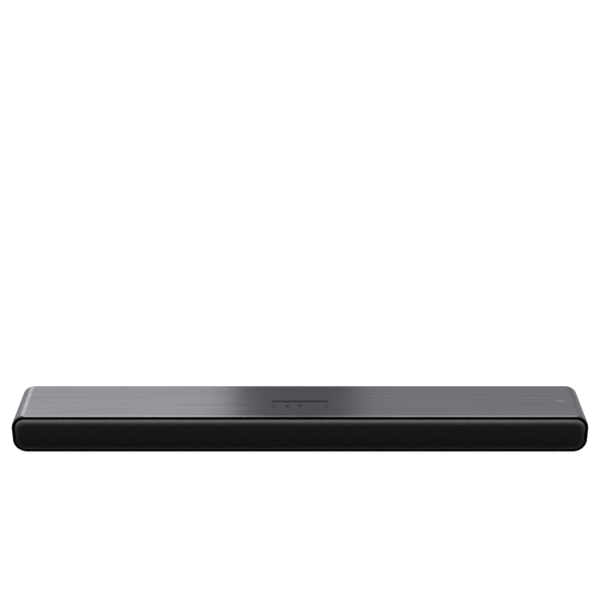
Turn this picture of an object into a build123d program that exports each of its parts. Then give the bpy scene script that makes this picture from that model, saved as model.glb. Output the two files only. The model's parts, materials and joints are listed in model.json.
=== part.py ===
"""A compact soundbar with a brushed cover, a black front trim, a mesh grille and a five-key strip.

Frame: +X to the right along the bar, -Y out of the front, +Z up. The origin is the middle of the
bar's footprint, on the surface that its feet stand on. Every size is in millimetres.
"""

import os

from build123d import *

os.makedirs("parts", exist_ok=True)

# ---- overall sizes --------------------------------------------------------------------------------
bar_length = 810.0
body_height = 58.0
foot_height = 2.0
cover_depth = 86.0
corner_radius = 19.5

# ---- cover, trim and grille -----------------------------------------------------------------------
cover_wall = 1.8
front_chamfer = 1.5
rear_chamfer = 0.5
trim_proud = 1.2
trim_inset = 1.2  # the trim's outline lies this far inside the cover's
trim_width = 3.2
trim_edge_round = 0.35
skirt_wall = 3.8
skirt_depth = 6.9
ledge_depth = 0.7  # from the trim's face back to the ledge that the grille sits on
grille_bulge = 5.0
grille_edge_round = 4.6
grille_wall = 0.8
frame_lip = 4.0
frame_rib = 2.0
frame_ribs = 4
frame_depth = 3.2
frame_peg_length = 3.6
peg_radius = 1.6
slip = 0.15  # gap round a part that is pushed into another
joint_gap = 0.05

# ---- base and feet --------------------------------------------------------------------------------
return_width = 24.0  # how far the cover turns in under each end
base_gap = 0.3
foot_length = 52.0
foot_width = 11.0
foot_from_end = 78.0
foot_from_edge = 13.0
foot_seat = 0.8
foot_corner = 3.0
foot_chamfer = 0.6
vent_length = 18.0
vent_width = 1.8
vent_pitch = 5.0
vent_count = 9
boss_radius = 3.6
boss_from_edge = 13.5
lug_length = 10.0
lug_height = 9.0
lug_depth = 6.0
screw_radius = 1.2
screw_length = 6.0
board_screw_length = 4.5
screw_head_radius = 2.1
screw_head_height = 1.3
screw_clearance = 0.3

# ---- baffle, speaker boxes and drivers ------------------------------------------------------------
baffle_wall = 3.0
box_end_gap = 13.0
box_wall = 2.0
box_margin = 4.0  # from the woofer's flange to the box's inner wall, towards the boards
box_rear_gap = 8.2  # leaves room for the keyhole cups
box_play = 0.6
box_boss_inset = 6.0
box_corner = 6.0
woofer_from_end = 134.0
woofer_length = 118.0
woofer_margin = 4.4  # from the woofer's flange to the inner wall, above and below
flange_wall = 1.2
rim_width = 6.0  # the flange's width round its opening
surround_width = 5.0
surround_lip = 0.6
surround_wall = 0.5
cone_wall = 0.6
cone_end_wall = 1.8
cone_depth = 12.0
cone_floor_length = 28.0
cone_floor_margin = 1.0
cap_rise = 3.0
cap_wall = 0.5
basket_depth = 21.0
basket_wall = 1.2
basket_window = 9.0
coil_inset = 2.0
coil_wall = 0.7
coil_length = 13.0
coil_play = 0.45
pole_play = 0.9
spider_wall = 0.4
spider_seat = 2.0
spider_ridge = 0.8
spider_ridges = 3
spider_height = 3.0
plate_wall = 3.5
ferrite_wall = 9.0
ferrite_play = 1.5
magnet_margin = 2.8
tweeter_from_end = 37.0
tweeter_radius = 17.0
tweeter_lip = 3.0
tweeter_depth = 12.0
tweeter_recess = 3.2
dome_radius = 9.5
dome_rise = 3.4
dome_wall = 0.4
dome_play = 0.5

# ---- rear panel -----------------------------------------------------------------------------------
panel_wall = 2.2
panel_inset = 0.8
panel_chamfer = 0.5
bay_length = 140.0
bay_height = 30.0
bay_depth = 20.0
bay_wall = 2.0
bay_corner = 3.0
inlet_bay_length = 36.0
inlet_bay_height = 24.0
inlet_x = -141.0
inlet_face_length = 28.0
inlet_face_height = 16.0
inlet_face_wall = 2.0
inlet_body_length = 22.0
inlet_body_height = 12.0
inlet_depth = 14.0
inlet_corner = 2.0
socket_length = 16.0
socket_height = 8.4
socket_depth = 11.5
pin_radius = 1.2
pin_length = 9.5
pin_spacing = 8.6
pin_round = 0.6
keyhole_from_end = 105.0
keyhole_radius = 4.5
keyhole_slot_radius = 2.2
keyhole_rise = 9.0
keyhole_plate_length = 34.0
keyhole_plate_height = 26.0
keyhole_plate_wall = 1.2
keyhole_cup_wall = 1.5
keyhole_cup_depth = 5.0
rear_vent_from_middle = 186.0
rear_vent_count = 6
jack_depth = 11.5
jack_proud = 0.5
hdmi_x = 44.0
hdmi_length = 15.2
hdmi_height = 6.6
hdmi_shell = 0.6
usb_x = 18.0
usb_length = 14.4
usb_height = 7.2
usb_shell = 0.8
tongue_gap = 1.5
tongue_wall = 1.3
usb_tongue_rise = 0.9
tongue_depth = 9.0
shell_depth = 10.5
optical_x = -10.0
optical_size = 13.0
optical_mouth = 8.6
optical_mouth_depth = 10.5
shutter_wall = 0.8
shutter_play = 0.3
shutter_setback = 0.8
aux_x = -38.0
aux_body = 12.0
aux_nose_radius = 4.0
aux_bore_radius = 1.78
aux_bore_depth = 12.5
jack_board_length = 112.0
jack_board_height = 26.0

# ---- keys -----------------------------------------------------------------------------------------
key_names = ("power", "source", "wireless", "volume_down", "volume_up")
key_strip_length = 80.6
key_strip_width = 4.6
key_strip_from_front = 41.2
key_gap = 0.3
key_proud = 0.25
key_flange = 1.6
key_flange_wall = 1.0
key_travel = 0.6
key_stem_radius = 1.5
key_corner = 0.5
key_round = 0.3
key_frame_wall = 3.0
key_frame_gap = 0.4
key_frame_drop = 7.4
switch_size = 6.0
switch_height = 3.5
plunger_radius = 1.6
plunger_height = 0.75
pad_sheet = 0.6
pad_ring_play = 0.6
pad_ring_wall = 0.8
board_wall = 1.6

# ---- electronics ----------------------------------------------------------------------------------
board_length = 88.0
board_from_middle = 93.0
standoff_height = 5.0
standoff_radius = 3.0
standoff_inset = 4.5
board_play = 3.5
display_length = 34.0
display_height = 13.0
display_standoff = 3.0
display_board_length = 70.0
display_board_height = 30.0
heat_sink_length = 56.0
heat_sink_width = 22.0
heat_sink_height = 18.0
heat_sink_base = 3.0
heat_sink_fins = 8
fin_wall = 1.4
chip_size = 13.0
chip_height = 3.0
core_length = 24.0
core_width = 16.0
core_height = 21.0
winding_margin = 3.0
capacitor_radius = 6.0
capacitor_height = 20.0
capacitor_round = 0.8
wire_radius = 1.1
wire_bend = 3.0
wire_corner = 2.0
wire_play = 0.4

# ---- places worked out from the sizes above -------------------------------------------------------
total_depth = cover_depth + trim_proud + grille_bulge
rear_y = total_depth / 2
cover_front_y = rear_y - cover_depth
cover_middle_y = (cover_front_y + rear_y) / 2
trim_face_y = cover_front_y - trim_proud
grille_face_y = -total_depth / 2
ledge_y = trim_face_y + ledge_depth
skirt_rear_y = cover_front_y + skirt_depth
baffle_rear_y = skirt_rear_y + baffle_wall
panel_face_y = rear_y - panel_inset
panel_inner_y = panel_face_y - panel_wall
box_rear_y = panel_inner_y - box_rear_gap
bay_face_y = panel_face_y - bay_depth
bay_back_y = bay_face_y - bay_wall

middle_z = foot_height + body_height / 2
cover_top_z = foot_height + body_height
ceiling_z = cover_top_z - cover_wall
base_low_z = foot_height
floor_z = base_low_z + cover_wall
inner_height = ceiling_z - floor_z

pilot_radius = screw_radius + joint_gap
shank_hole_radius = screw_radius + screw_clearance
head_hole_radius = screw_head_radius + screw_clearance
base_length = bar_length - 2 * return_width
box_outer_x = bar_length / 2 - box_end_gap
woofer_x = bar_length / 2 - woofer_from_end
box_inner_x = woofer_x - woofer_length / 2 - box_margin - box_wall
box_length = box_outer_x - box_inner_x
box_middle_x = (box_inner_x + box_outer_x) / 2
box_height = inner_height - 2 * box_play
tweeter_x = bar_length / 2 - tweeter_from_end
keyhole_x = bar_length / 2 - keyhole_from_end
boss_outer_x = box_inner_x - boss_radius - 2.0
boss_inner_x = bay_length / 2 + bay_wall + boss_radius + 8.0
boss_front_y = cover_front_y + boss_from_edge + boss_radius
boss_rear_y = rear_y - boss_from_edge
sides = (("left", -1), ("right", 1))

boss_spots = [
    (x, y)
    for x in (-boss_outer_x, -boss_inner_x, boss_inner_x, boss_outer_x)
    for y in (boss_front_y, boss_rear_y)
]
lug_xs = [
    side * x
    for _, side in sides
    for x in (box_inner_x + lug_length, boss_inner_x + 3 * lug_length, box_outer_x - 2 * lug_length)
]
foot_spots = [
    (side * (bar_length / 2 - foot_from_end), y)
    for _, side in sides
    for y in (cover_front_y + foot_from_edge, rear_y - foot_from_edge)
]


def facing(y, z=middle_z):
    """A plane across the bar at y, seen from the front: its own y is up and its normal is -Y."""
    return Plane(origin=(0, y, z), x_dir=(1, 0, 0), z_dir=(0, -1, 0))


def backing(y, z=middle_z):
    """A plane across the bar at y, seen from the rear: its own y is up and its normal is +Y."""
    return Plane(origin=(0, y, z), x_dir=(-1, 0, 0), z_dir=(0, 1, 0))


def outline(inset):
    """The bar's rounded end profile, taken in by inset, as part of the current sketch."""
    return RectangleRounded(
        bar_length - 2 * inset, body_height - 2 * inset, corner_radius - inset
    )


def outline_cut(inset):
    """The same profile, cut out of the current sketch."""
    return RectangleRounded(
        bar_length - 2 * inset,
        body_height - 2 * inset,
        corner_radius - inset,
        mode=Mode.SUBTRACT,
    )


def save(part, name):
    """Labels a finished piece and writes it as its own STEP file."""
    part.label = name
    export_step(part, f"parts/{name}.step")


# ---- top cover: the brushed skin over the top, the ends and the lower corners ----------------------
key_y = cover_front_y + key_strip_from_front
with BuildPart() as top_cover:
    with BuildSketch(facing(cover_front_y)):
        outline(0)
    extrude(amount=-cover_depth)
    chamfer(top_cover.faces().sort_by(Axis.Y)[0].edges(), front_chamfer)
    chamfer(top_cover.faces().sort_by(Axis.Y)[-1].edges(), rear_chamfer)
    with BuildSketch(facing(cover_front_y)):
        outline(cover_wall)
    extrude(amount=-cover_depth, mode=Mode.SUBTRACT)
    with BuildSketch(Plane.XY):
        with Locations((0, cover_middle_y)):
            Rectangle(base_length, cover_depth)
    extrude(amount=floor_z + base_gap, mode=Mode.SUBTRACT)
    with BuildSketch(Plane.XY.offset(cover_top_z)):
        with Locations((0, key_y)):
            RectangleRounded(key_strip_length, key_strip_width, key_corner)
    extrude(amount=-2 * cover_wall, mode=Mode.SUBTRACT)
    with BuildSketch(Plane.XY.offset(floor_z)):
        with Locations(*boss_spots):
            Circle(boss_radius)
            Circle(pilot_radius, mode=Mode.SUBTRACT)
    extrude(amount=inner_height)
    with BuildSketch(facing(panel_inner_y - joint_gap, ceiling_z - lug_height / 2)):
        with Locations(*[(x, 0) for x in lug_xs]):
            Rectangle(lug_length, lug_height)
            Circle(pilot_radius, mode=Mode.SUBTRACT)
    extrude(amount=lug_depth)
save(top_cover.part, "top_cover")

# ---- base plate: closes the cover from below and carries the boards --------------------------------
board_x = board_from_middle + board_length / 2
board_front_y = baffle_rear_y + board_play
board_rear_y = bay_back_y - board_play
board_middle_y = (board_front_y + board_rear_y) / 2
board_depth = board_rear_y - board_front_y
board_low_z = floor_z + standoff_height
board_top_z = board_low_z + board_wall
standoff_spots = [
    (side * board_x + along * (board_length / 2 - standoff_inset), board_middle_y + across)
    for _, side in sides
    for along in (-1, 1)
    for across in (standoff_inset - board_depth / 2, board_depth / 2 - standoff_inset)
]
with BuildPart() as base_plate:
    with BuildSketch(Plane.XY.offset(base_low_z)):
        with Locations((0, cover_middle_y)):
            Rectangle(base_length - 2 * base_gap, cover_depth - 2 * joint_gap)
    extrude(amount=cover_wall)
    with BuildSketch(Plane.XY.offset(floor_z)):
        with Locations(*standoff_spots):
            Circle(standoff_radius)
            Circle(pilot_radius, mode=Mode.SUBTRACT)
    extrude(amount=standoff_height)
    with BuildSketch(facing(panel_inner_y - joint_gap, floor_z + lug_height / 2)):
        with Locations(*[(x, 0) for x in lug_xs]):
            Rectangle(lug_length, lug_height)
            Circle(pilot_radius, mode=Mode.SUBTRACT)
    extrude(amount=lug_depth)
    with BuildSketch(Plane.XY.offset(base_low_z)):
        with Locations(*foot_spots):
            RectangleRounded(foot_length + 2 * slip, foot_width + 2 * slip, foot_corner + slip)
    extrude(amount=foot_seat, mode=Mode.SUBTRACT)
    with BuildSketch(Plane.XY.offset(base_low_z)):
        with Locations(*[(side * board_x, board_middle_y) for _, side in sides]):
            with GridLocations(vent_pitch, 0, vent_count, 1):
                SlotOverall(vent_length, vent_width, rotation=90)
    extrude(amount=cover_wall, mode=Mode.SUBTRACT)
    with BuildSketch(Plane.XY.offset(base_low_z)):
        with Locations(*boss_spots):
            Circle(shank_hole_radius)
    extrude(amount=cover_wall, mode=Mode.SUBTRACT)
    with BuildSketch(Plane.XY.offset(base_low_z)):
        with Locations(*boss_spots):
            Circle(head_hole_radius)
    extrude(amount=screw_head_height, mode=Mode.SUBTRACT)
save(base_plate.part, "base_plate")

with BuildPart() as rubber_feet:
    with BuildSketch(Plane.XY):
        with Locations(*foot_spots):
            RectangleRounded(foot_length, foot_width, foot_corner)
    extrude(amount=base_low_z + foot_seat)
    chamfer(rubber_feet.faces().group_by(Axis.Z)[0].edges(), foot_chamfer)
save(rubber_feet.part, "rubber_feet")

# ---- front trim: the gloss ring round the grille, with a skirt that plugs into the cover -----------
skirt_inset = cover_wall + slip
trim_bore_inset = skirt_inset + skirt_wall
seat_inset = trim_inset + trim_width
with BuildPart() as front_trim:
    with BuildSketch(facing(trim_face_y)):
        outline(trim_inset)
    extrude(amount=joint_gap - trim_proud)
    fillet(front_trim.faces().sort_by(Axis.Y)[0].edges(), trim_edge_round)
    with BuildSketch(facing(ledge_y)):
        outline(skirt_inset)
    extrude(amount=ledge_y - skirt_rear_y)
    with BuildSketch(facing(trim_face_y)):
        outline(seat_inset)
    extrude(amount=-ledge_depth, mode=Mode.SUBTRACT)
    with BuildSketch(facing(trim_face_y)):
        outline(trim_bore_inset)
    extrude(amount=trim_face_y - skirt_rear_y, mode=Mode.SUBTRACT)
save(front_trim.part, "front_trim")

# ---- grille: a shallow mesh pan on a ribbed frame --------------------------------------------------
with BuildPart() as grille_mesh:
    with BuildSketch(facing(ledge_y)):
        outline(seat_inset + slip)
    extrude(amount=ledge_y - grille_face_y)
    fillet(grille_mesh.faces().sort_by(Axis.Y)[0].edges(), grille_edge_round)
    offset(
        amount=-grille_wall,
        openings=grille_mesh.faces().sort_by(Axis.Y)[-1],
        kind=Kind.INTERSECTION,
    )
save(grille_mesh.part, "grille_mesh")

frame_inset = trim_bore_inset + slip
frame_rear_y = skirt_rear_y - frame_peg_length
frame_front_y = frame_rear_y - frame_depth
rib_front_y = grille_face_y + grille_wall + joint_gap
peg_z = body_height / 2 - frame_inset - frame_lip / 2
rib_height = 2 * peg_z
rib_pitch = 2 * box_inner_x / (frame_ribs - 1)
with BuildPart() as grille_frame:
    with BuildSketch(facing(frame_rear_y)):
        outline(frame_inset)
        outline_cut(frame_inset + frame_lip)
        with GridLocations(rib_pitch, 0, frame_ribs, 1):
            Rectangle(frame_rib, rib_height)
    extrude(amount=frame_depth)
    with BuildSketch(facing(frame_front_y)):
        with GridLocations(rib_pitch, 0, frame_ribs, 1):
            Rectangle(frame_rib, rib_height - 2 * grille_edge_round)
    extrude(amount=frame_front_y - rib_front_y)
    with BuildSketch(facing(frame_rear_y)):
        with GridLocations(rib_pitch, 2 * peg_z, frame_ribs, 2):
            Circle(peg_radius)
    extrude(amount=-frame_peg_length)
save(grille_frame.part, "grille_frame")

# ---- baffle: carries the drivers and the display, and closes the speaker boxes ---------------------
woofer_height = inner_height - 2 * woofer_margin
opening_length = woofer_length - 2 * rim_width
opening_height = woofer_height - 2 * rim_width
tube_length = opening_length + 2 * basket_wall
tube_height = opening_height + 2 * basket_wall
flange_front_y = skirt_rear_y - flange_wall
tweeter_hole_radius = tweeter_radius - tweeter_lip
driver_screw_z = (tube_height / 2 + woofer_height / 2) / 2
driver_screw_spots = [
    (side * woofer_x + along * woofer_length / 4, up * driver_screw_z)
    for _, side in sides
    for along in (-1, 1)
    for up in (-1, 1)
]
box_screw_x = box_length / 2 - box_boss_inset
box_screw_z = box_height / 2 - box_boss_inset
box_screw_spots = [
    (side * box_middle_x + along * box_screw_x, up * box_screw_z)
    for _, side in sides
    for along in (-1, 1)
    for up in (-1, 1)
]
with BuildPart() as front_baffle:
    with BuildSketch(facing(skirt_rear_y)):
        outline(cover_wall + slip)
        with Locations(*[(side * woofer_x, 0) for _, side in sides]):
            SlotOverall(tube_length + 2 * slip, tube_height + 2 * slip, mode=Mode.SUBTRACT)
        with Locations(*[(side * tweeter_x, 0) for _, side in sides]):
            Circle(tweeter_hole_radius, mode=Mode.SUBTRACT)
        with Locations(*driver_screw_spots, *box_screw_spots):
            Circle(pilot_radius, mode=Mode.SUBTRACT)
        Rectangle(display_length + 2 * slip, display_height + 2 * slip, mode=Mode.SUBTRACT)
    extrude(amount=-baffle_wall)
    with BuildSketch(facing(baffle_rear_y)):
        with GridLocations(
            display_board_length - 2 * standoff_inset, display_board_height - 2 * standoff_inset, 2, 2
        ):
            Circle(standoff_radius)
            Circle(pilot_radius, mode=Mode.SUBTRACT)
    extrude(amount=-display_standoff)
save(front_baffle.part, "front_baffle")

# ---- speaker boxes: open at the front, screwed to the back of the baffle ---------------------------
wire_y = flange_front_y + basket_depth + wire_radius
wire_z = middle_z - box_height / 4
for name, side in sides:
    with BuildPart() as speaker_box:
        with BuildSketch(facing(baffle_rear_y)):
            with Locations((side * box_middle_x, 0)):
                RectangleRounded(box_length, box_height, box_corner)
        extrude(amount=baffle_rear_y - box_rear_y)
        with BuildSketch(facing(baffle_rear_y)):
            with Locations((side * box_middle_x, 0)):
                RectangleRounded(
                    box_length - 2 * box_wall, box_height - 2 * box_wall, box_corner - box_wall
                )
        extrude(amount=baffle_rear_y - box_rear_y + box_wall, mode=Mode.SUBTRACT)
        with BuildSketch(facing(baffle_rear_y)):
            with Locations(*[spot for spot in box_screw_spots if spot[0] * side > 0]):
                Circle(boss_radius)
                Circle(pilot_radius, mode=Mode.SUBTRACT)
        extrude(amount=baffle_rear_y - box_rear_y)
        with BuildSketch(Plane(origin=(side * box_inner_x, wire_y, wire_z), z_dir=(side, 0, 0))):
            Circle(wire_radius + wire_play)
        extrude(amount=box_wall, mode=Mode.SUBTRACT)
    save(speaker_box.part, f"{name}_speaker_box")

# ---- woofers: a racetrack driver in each box -------------------------------------------------------
basket_rear_y = flange_front_y + basket_depth
cone_length = opening_length - 2 * surround_width
cone_height = opening_height - 2 * surround_width
cone_floor_y = flange_front_y + cone_depth
cone_floor_height = cone_height - 2 * cone_floor_margin
coil_radius = cone_height / 2 - coil_inset
coil_outer_radius = coil_radius + coil_wall
magnet_radius = woofer_height / 2 - magnet_margin
spider_y = cone_floor_y + spider_height
spider_radius = opening_height / 2
spider_step = (spider_radius - spider_seat - coil_outer_radius) / (2 * spider_ridges)
spider_front = [
    (coil_outer_radius + i * spider_step, spider_ridge * (i % 2))
    for i in range(2 * spider_ridges + 1)
]
spider_front.append((spider_radius, 0))
spider_profile = [(x, -y) for x, y in spider_front]
spider_profile += [(x, spider_wall - y) for x, y in reversed(spider_front)]
straight = cone_length - cone_height
for name, side in sides:
    centre_x = side * woofer_x

    with BuildPart() as basket:
        with BuildSketch(facing(flange_front_y)):
            with Locations((centre_x, 0)):
                SlotOverall(woofer_length, woofer_height)
        extrude(amount=-flange_wall)
        with BuildSketch(facing(flange_front_y)):
            with Locations((centre_x, 0)):
                SlotOverall(tube_length, tube_height)
        extrude(amount=-basket_depth)
        with BuildSketch(facing(flange_front_y)):
            with Locations((centre_x, 0)):
                SlotOverall(opening_length, opening_height)
        extrude(amount=basket_wall - basket_depth, mode=Mode.SUBTRACT)
        with BuildSketch(facing(spider_y + spider_wall)):
            with Locations((centre_x, 0)):
                Circle(spider_radius + basket_wall / 2)
                Circle(spider_radius - spider_seat, mode=Mode.SUBTRACT)
        extrude(amount=spider_y + spider_wall - basket_rear_y)
        with BuildSketch(facing(basket_rear_y)):
            with Locations((centre_x, 0)):
                Circle(coil_outer_radius + coil_play)
            for along in (-1, 1):
                with Locations((centre_x + along * (woofer_length / 4 + basket_window / 2), 0)):
                    SlotOverall(2 * basket_window, basket_window)
        extrude(amount=basket_wall, mode=Mode.SUBTRACT)
        with BuildSketch(facing(flange_front_y)):
            with Locations(*[spot for spot in driver_screw_spots if spot[0] * side > 0]):
                Circle(shank_hole_radius)
        extrude(amount=-flange_wall, mode=Mode.SUBTRACT)
    save(basket.part, f"{name}_basket")

    roll_z = middle_z + (opening_height - surround_width) / 2
    end_axis = Axis((centre_x - straight / 2, 0, middle_z), (0, -1, 0))
    with BuildPart() as surround:
        with BuildSketch(Plane.YZ.offset(centre_x - straight / 2)) as roll:
            with Locations((flange_front_y, roll_z)):
                Circle(surround_width / 2)
                Circle(surround_width / 2 - surround_wall, mode=Mode.SUBTRACT)
            with Locations((flange_front_y + surround_width, roll_z)):
                Rectangle(2 * surround_width, 2 * surround_width, mode=Mode.SUBTRACT)
            for lip in (-1, 1):
                with Locations(
                    (flange_front_y - surround_wall / 2, roll_z + lip * surround_width / 2)
                ):
                    Rectangle(surround_wall, 2 * surround_lip)
        extrude(roll.sketch, amount=straight)
        revolve(roll.sketch, axis=end_axis, revolution_arc=180)
        add(surround.part.rotate(Axis((centre_x, 0, middle_z), (0, 1, 0)), 180))
    save(surround.part, f"{name}_surround")

    with BuildPart() as cone:
        with BuildSketch(facing(flange_front_y)):
            with Locations((centre_x, 0)):
                SlotOverall(cone_length, cone_height)
        with BuildSketch(facing(cone_floor_y)):
            with Locations((centre_x, 0)):
                SlotOverall(cone_floor_length, cone_floor_height)
        loft()
        with BuildSketch(facing(flange_front_y)):
            with Locations((centre_x, 0)):
                SlotOverall(cone_length - 2 * cone_end_wall, cone_height - 2 * cone_wall)
        with BuildSketch(facing(cone_floor_y - cone_wall)):
            with Locations((centre_x, 0)):
                SlotOverall(
                    cone_floor_length - 2 * cone_end_wall, cone_floor_height - 2 * cone_wall
                )
        loft(mode=Mode.SUBTRACT)
    save(cone.part, f"{name}_cone")

    cap_radius = cone_floor_height / 2 - 2 * cone_wall
    cap_ball = (cap_radius**2 + cap_rise**2) / (2 * cap_rise)
    cap_base_y = cone_floor_y - cone_wall
    with BuildPart() as dust_cap:
        with Locations((centre_x, cap_base_y - cap_rise + cap_ball, middle_z)):
            Sphere(cap_ball)
            Sphere(cap_ball - cap_wall, mode=Mode.SUBTRACT)
        with Locations((centre_x, cap_base_y - cap_rise / 2, middle_z)):
            Box(4 * cap_radius, cap_rise, 4 * cap_radius, mode=Mode.INTERSECT)
    save(dust_cap.part, f"{name}_dust_cap")

    with BuildPart() as voice_coil:
        with BuildSketch(facing(cone_floor_y)):
            with Locations((centre_x, 0)):
                Circle(coil_outer_radius)
                Circle(coil_radius, mode=Mode.SUBTRACT)
        extrude(amount=-coil_length)
    save(voice_coil.part, f"{name}_voice_coil")

    with BuildPart() as spider:
        with BuildSketch(Plane(origin=(centre_x, spider_y, middle_z), z_dir=(0, 0, 1))):
            with BuildLine():
                Polyline(*spider_profile, close=True)
            make_face()
        revolve(axis=Axis((centre_x, 0, middle_z), (0, 1, 0)))
    save(spider.part, f"{name}_spider")

    with BuildPart() as magnet:
        with BuildSketch(facing(basket_rear_y + plate_wall)):
            with Locations((centre_x, 0)):
                Circle(magnet_radius)
                Circle(coil_outer_radius + ferrite_play, mode=Mode.SUBTRACT)
        extrude(amount=-ferrite_wall)
    save(magnet.part, f"{name}_magnet")

    with BuildPart() as yoke:
        with BuildSketch(facing(basket_rear_y)):
            with Locations((centre_x, 0)):
                Circle(magnet_radius - 1.0)
                Circle(coil_outer_radius + coil_play, mode=Mode.SUBTRACT)
        extrude(amount=-plate_wall)
        with BuildSketch(facing(basket_rear_y + plate_wall + ferrite_wall)):
            with Locations((centre_x, 0)):
                Circle(magnet_radius - 1.0)
        extrude(amount=-plate_wall)
        with BuildSketch(facing(basket_rear_y)):
            with Locations((centre_x, 0)):
                Circle(coil_radius - pole_play)
        extrude(amount=-plate_wall - ferrite_wall)
    save(yoke.part, f"{name}_yoke")

# ---- tweeters: a small dome at each end of the bar -------------------------------------------------
dome_base_y = flange_front_y + tweeter_recess - dome_play
dome_ball = (dome_radius**2 + dome_rise**2) / (2 * dome_rise)
for name, side in sides:
    centre_x = side * tweeter_x
    with BuildPart() as tweeter:
        with BuildSketch(facing(flange_front_y)):
            with Locations((centre_x, 0)):
                Circle(tweeter_radius)
        extrude(amount=-flange_wall)
        with BuildSketch(facing(flange_front_y)):
            with Locations((centre_x, 0)):
                Circle(tweeter_hole_radius - slip)
        extrude(amount=-tweeter_depth)
        with BuildSketch(facing(flange_front_y)):
            with Locations((centre_x, 0)):
                Circle(dome_radius + dome_play)
        extrude(amount=-tweeter_recess, mode=Mode.SUBTRACT)
    save(tweeter.part, f"{name}_tweeter")

    with BuildPart() as tweeter_dome:
        with Locations((centre_x, dome_base_y - dome_rise + dome_ball, middle_z)):
            Sphere(dome_ball)
            Sphere(dome_ball - dome_wall, mode=Mode.SUBTRACT)
        with Locations((centre_x, dome_base_y - dome_rise / 2, middle_z)):
            Box(4 * dome_radius, dome_rise, 4 * dome_radius, mode=Mode.INTERSECT)
    save(tweeter_dome.part, f"{name}_tweeter_dome")

# ---- rear panel: two connector bays, two keyholes for wall mounting and vents ----------------------
jack_board_y = bay_back_y - jack_depth
jack_board_x = (hdmi_x + aux_x) / 2
keyhole_low_z = -keyhole_rise / 2
jack_board_spots = [
    (
        jack_board_x + along * (jack_board_length / 2 - standoff_inset),
        up * (jack_board_height / 2 - standoff_inset),
    )
    for along in (-1, 1)
    for up in (-1, 1)
]
with BuildPart() as rear_panel:
    with BuildSketch(backing(panel_inner_y)):
        outline(cover_wall + slip)
    extrude(amount=panel_wall)
    chamfer(rear_panel.faces().sort_by(Axis.Y)[-1].edges(), panel_chamfer)
    with BuildSketch(facing(panel_inner_y)):
        RectangleRounded(bay_length + 2 * bay_wall, bay_height + 2 * bay_wall, bay_corner + bay_wall)
        with Locations((inlet_x, 0)):
            RectangleRounded(
                inlet_bay_length + 2 * bay_wall, inlet_bay_height + 2 * bay_wall, bay_corner + bay_wall
            )
    extrude(amount=panel_inner_y - bay_back_y)
    with BuildSketch(facing(panel_face_y)):
        RectangleRounded(bay_length, bay_height, bay_corner)
        with Locations((inlet_x, 0)):
            RectangleRounded(inlet_bay_length, inlet_bay_height, bay_corner)
    extrude(amount=bay_depth, mode=Mode.SUBTRACT)
    with BuildSketch(facing(bay_face_y)):
        with Locations((hdmi_x, 0)):
            Rectangle(hdmi_length + 2 * slip, hdmi_height + 2 * slip)
        with Locations((usb_x, 0)):
            Rectangle(usb_length + 2 * slip, usb_height + 2 * slip)
        with Locations((optical_x, 0)):
            Rectangle(optical_size + 2 * slip, optical_size + 2 * slip)
        with Locations((aux_x, 0)):
            Circle(aux_nose_radius + slip)
        with Locations((inlet_x, 0)):
            Rectangle(inlet_body_length + 2 * slip, inlet_body_height + 2 * slip)
    extrude(amount=bay_wall, mode=Mode.SUBTRACT)
    with BuildSketch(facing(bay_back_y)):
        with Locations(*jack_board_spots):
            Circle(standoff_radius)
            Circle(pilot_radius, mode=Mode.SUBTRACT)
    extrude(amount=jack_depth)
    with BuildSketch(facing(panel_inner_y)):
        with Locations(*[(side * keyhole_x, 0) for _, side in sides]):
            RectangleRounded(
                keyhole_plate_length + 2 * (slip + keyhole_cup_wall),
                keyhole_plate_height + 2 * (slip + keyhole_cup_wall),
                keyhole_cup_wall,
            )
            RectangleRounded(
                keyhole_plate_length + 2 * slip,
                keyhole_plate_height + 2 * slip,
                slip,
                mode=Mode.SUBTRACT,
            )
    extrude(amount=keyhole_cup_depth)
    with BuildSketch(facing(panel_face_y)):
        with Locations(*[(side * keyhole_x, keyhole_low_z) for _, side in sides]):
            Circle(keyhole_radius)
        with Locations(*[(side * keyhole_x, 0) for _, side in sides]):
            SlotCenterToCenter(keyhole_rise, 2 * keyhole_slot_radius, rotation=90)
    extrude(amount=panel_wall, mode=Mode.SUBTRACT)
    with BuildSketch(facing(panel_face_y)):
        with Locations(*[(side * rear_vent_from_middle, 0) for _, side in sides]):
            with GridLocations(vent_pitch, 0, rear_vent_count, 1):
                SlotOverall(vent_length, vent_width, rotation=90)
    extrude(amount=panel_wall, mode=Mode.SUBTRACT)
    with BuildSketch(facing(panel_face_y)):
        with GridLocations(1, inner_height - lug_height, 1, 2):
            with Locations(*[(x, 0) for x in lug_xs]):
                Circle(shank_hole_radius)
    extrude(amount=panel_wall, mode=Mode.SUBTRACT)
    with BuildSketch(facing(panel_face_y)):
        with GridLocations(1, inner_height - lug_height, 1, 2):
            with Locations(*[(x, 0) for x in lug_xs]):
                Circle(head_hole_radius)
    extrude(amount=screw_head_height, mode=Mode.SUBTRACT)
save(rear_panel.part, "rear_panel")

with BuildPart() as keyhole_plates:
    with BuildSketch(facing(panel_inner_y)):
        with Locations(*[(side * keyhole_x, 0) for _, side in sides]):
            Rectangle(keyhole_plate_length, keyhole_plate_height)
        with Locations(*[(side * keyhole_x, keyhole_low_z) for _, side in sides]):
            Circle(keyhole_radius, mode=Mode.SUBTRACT)
        with Locations(*[(side * keyhole_x, 0) for _, side in sides]):
            SlotCenterToCenter(
                keyhole_rise, 2 * keyhole_slot_radius, rotation=90, mode=Mode.SUBTRACT
            )
    extrude(amount=keyhole_plate_wall)
save(keyhole_plates.part, "keyhole_plates")

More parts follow.
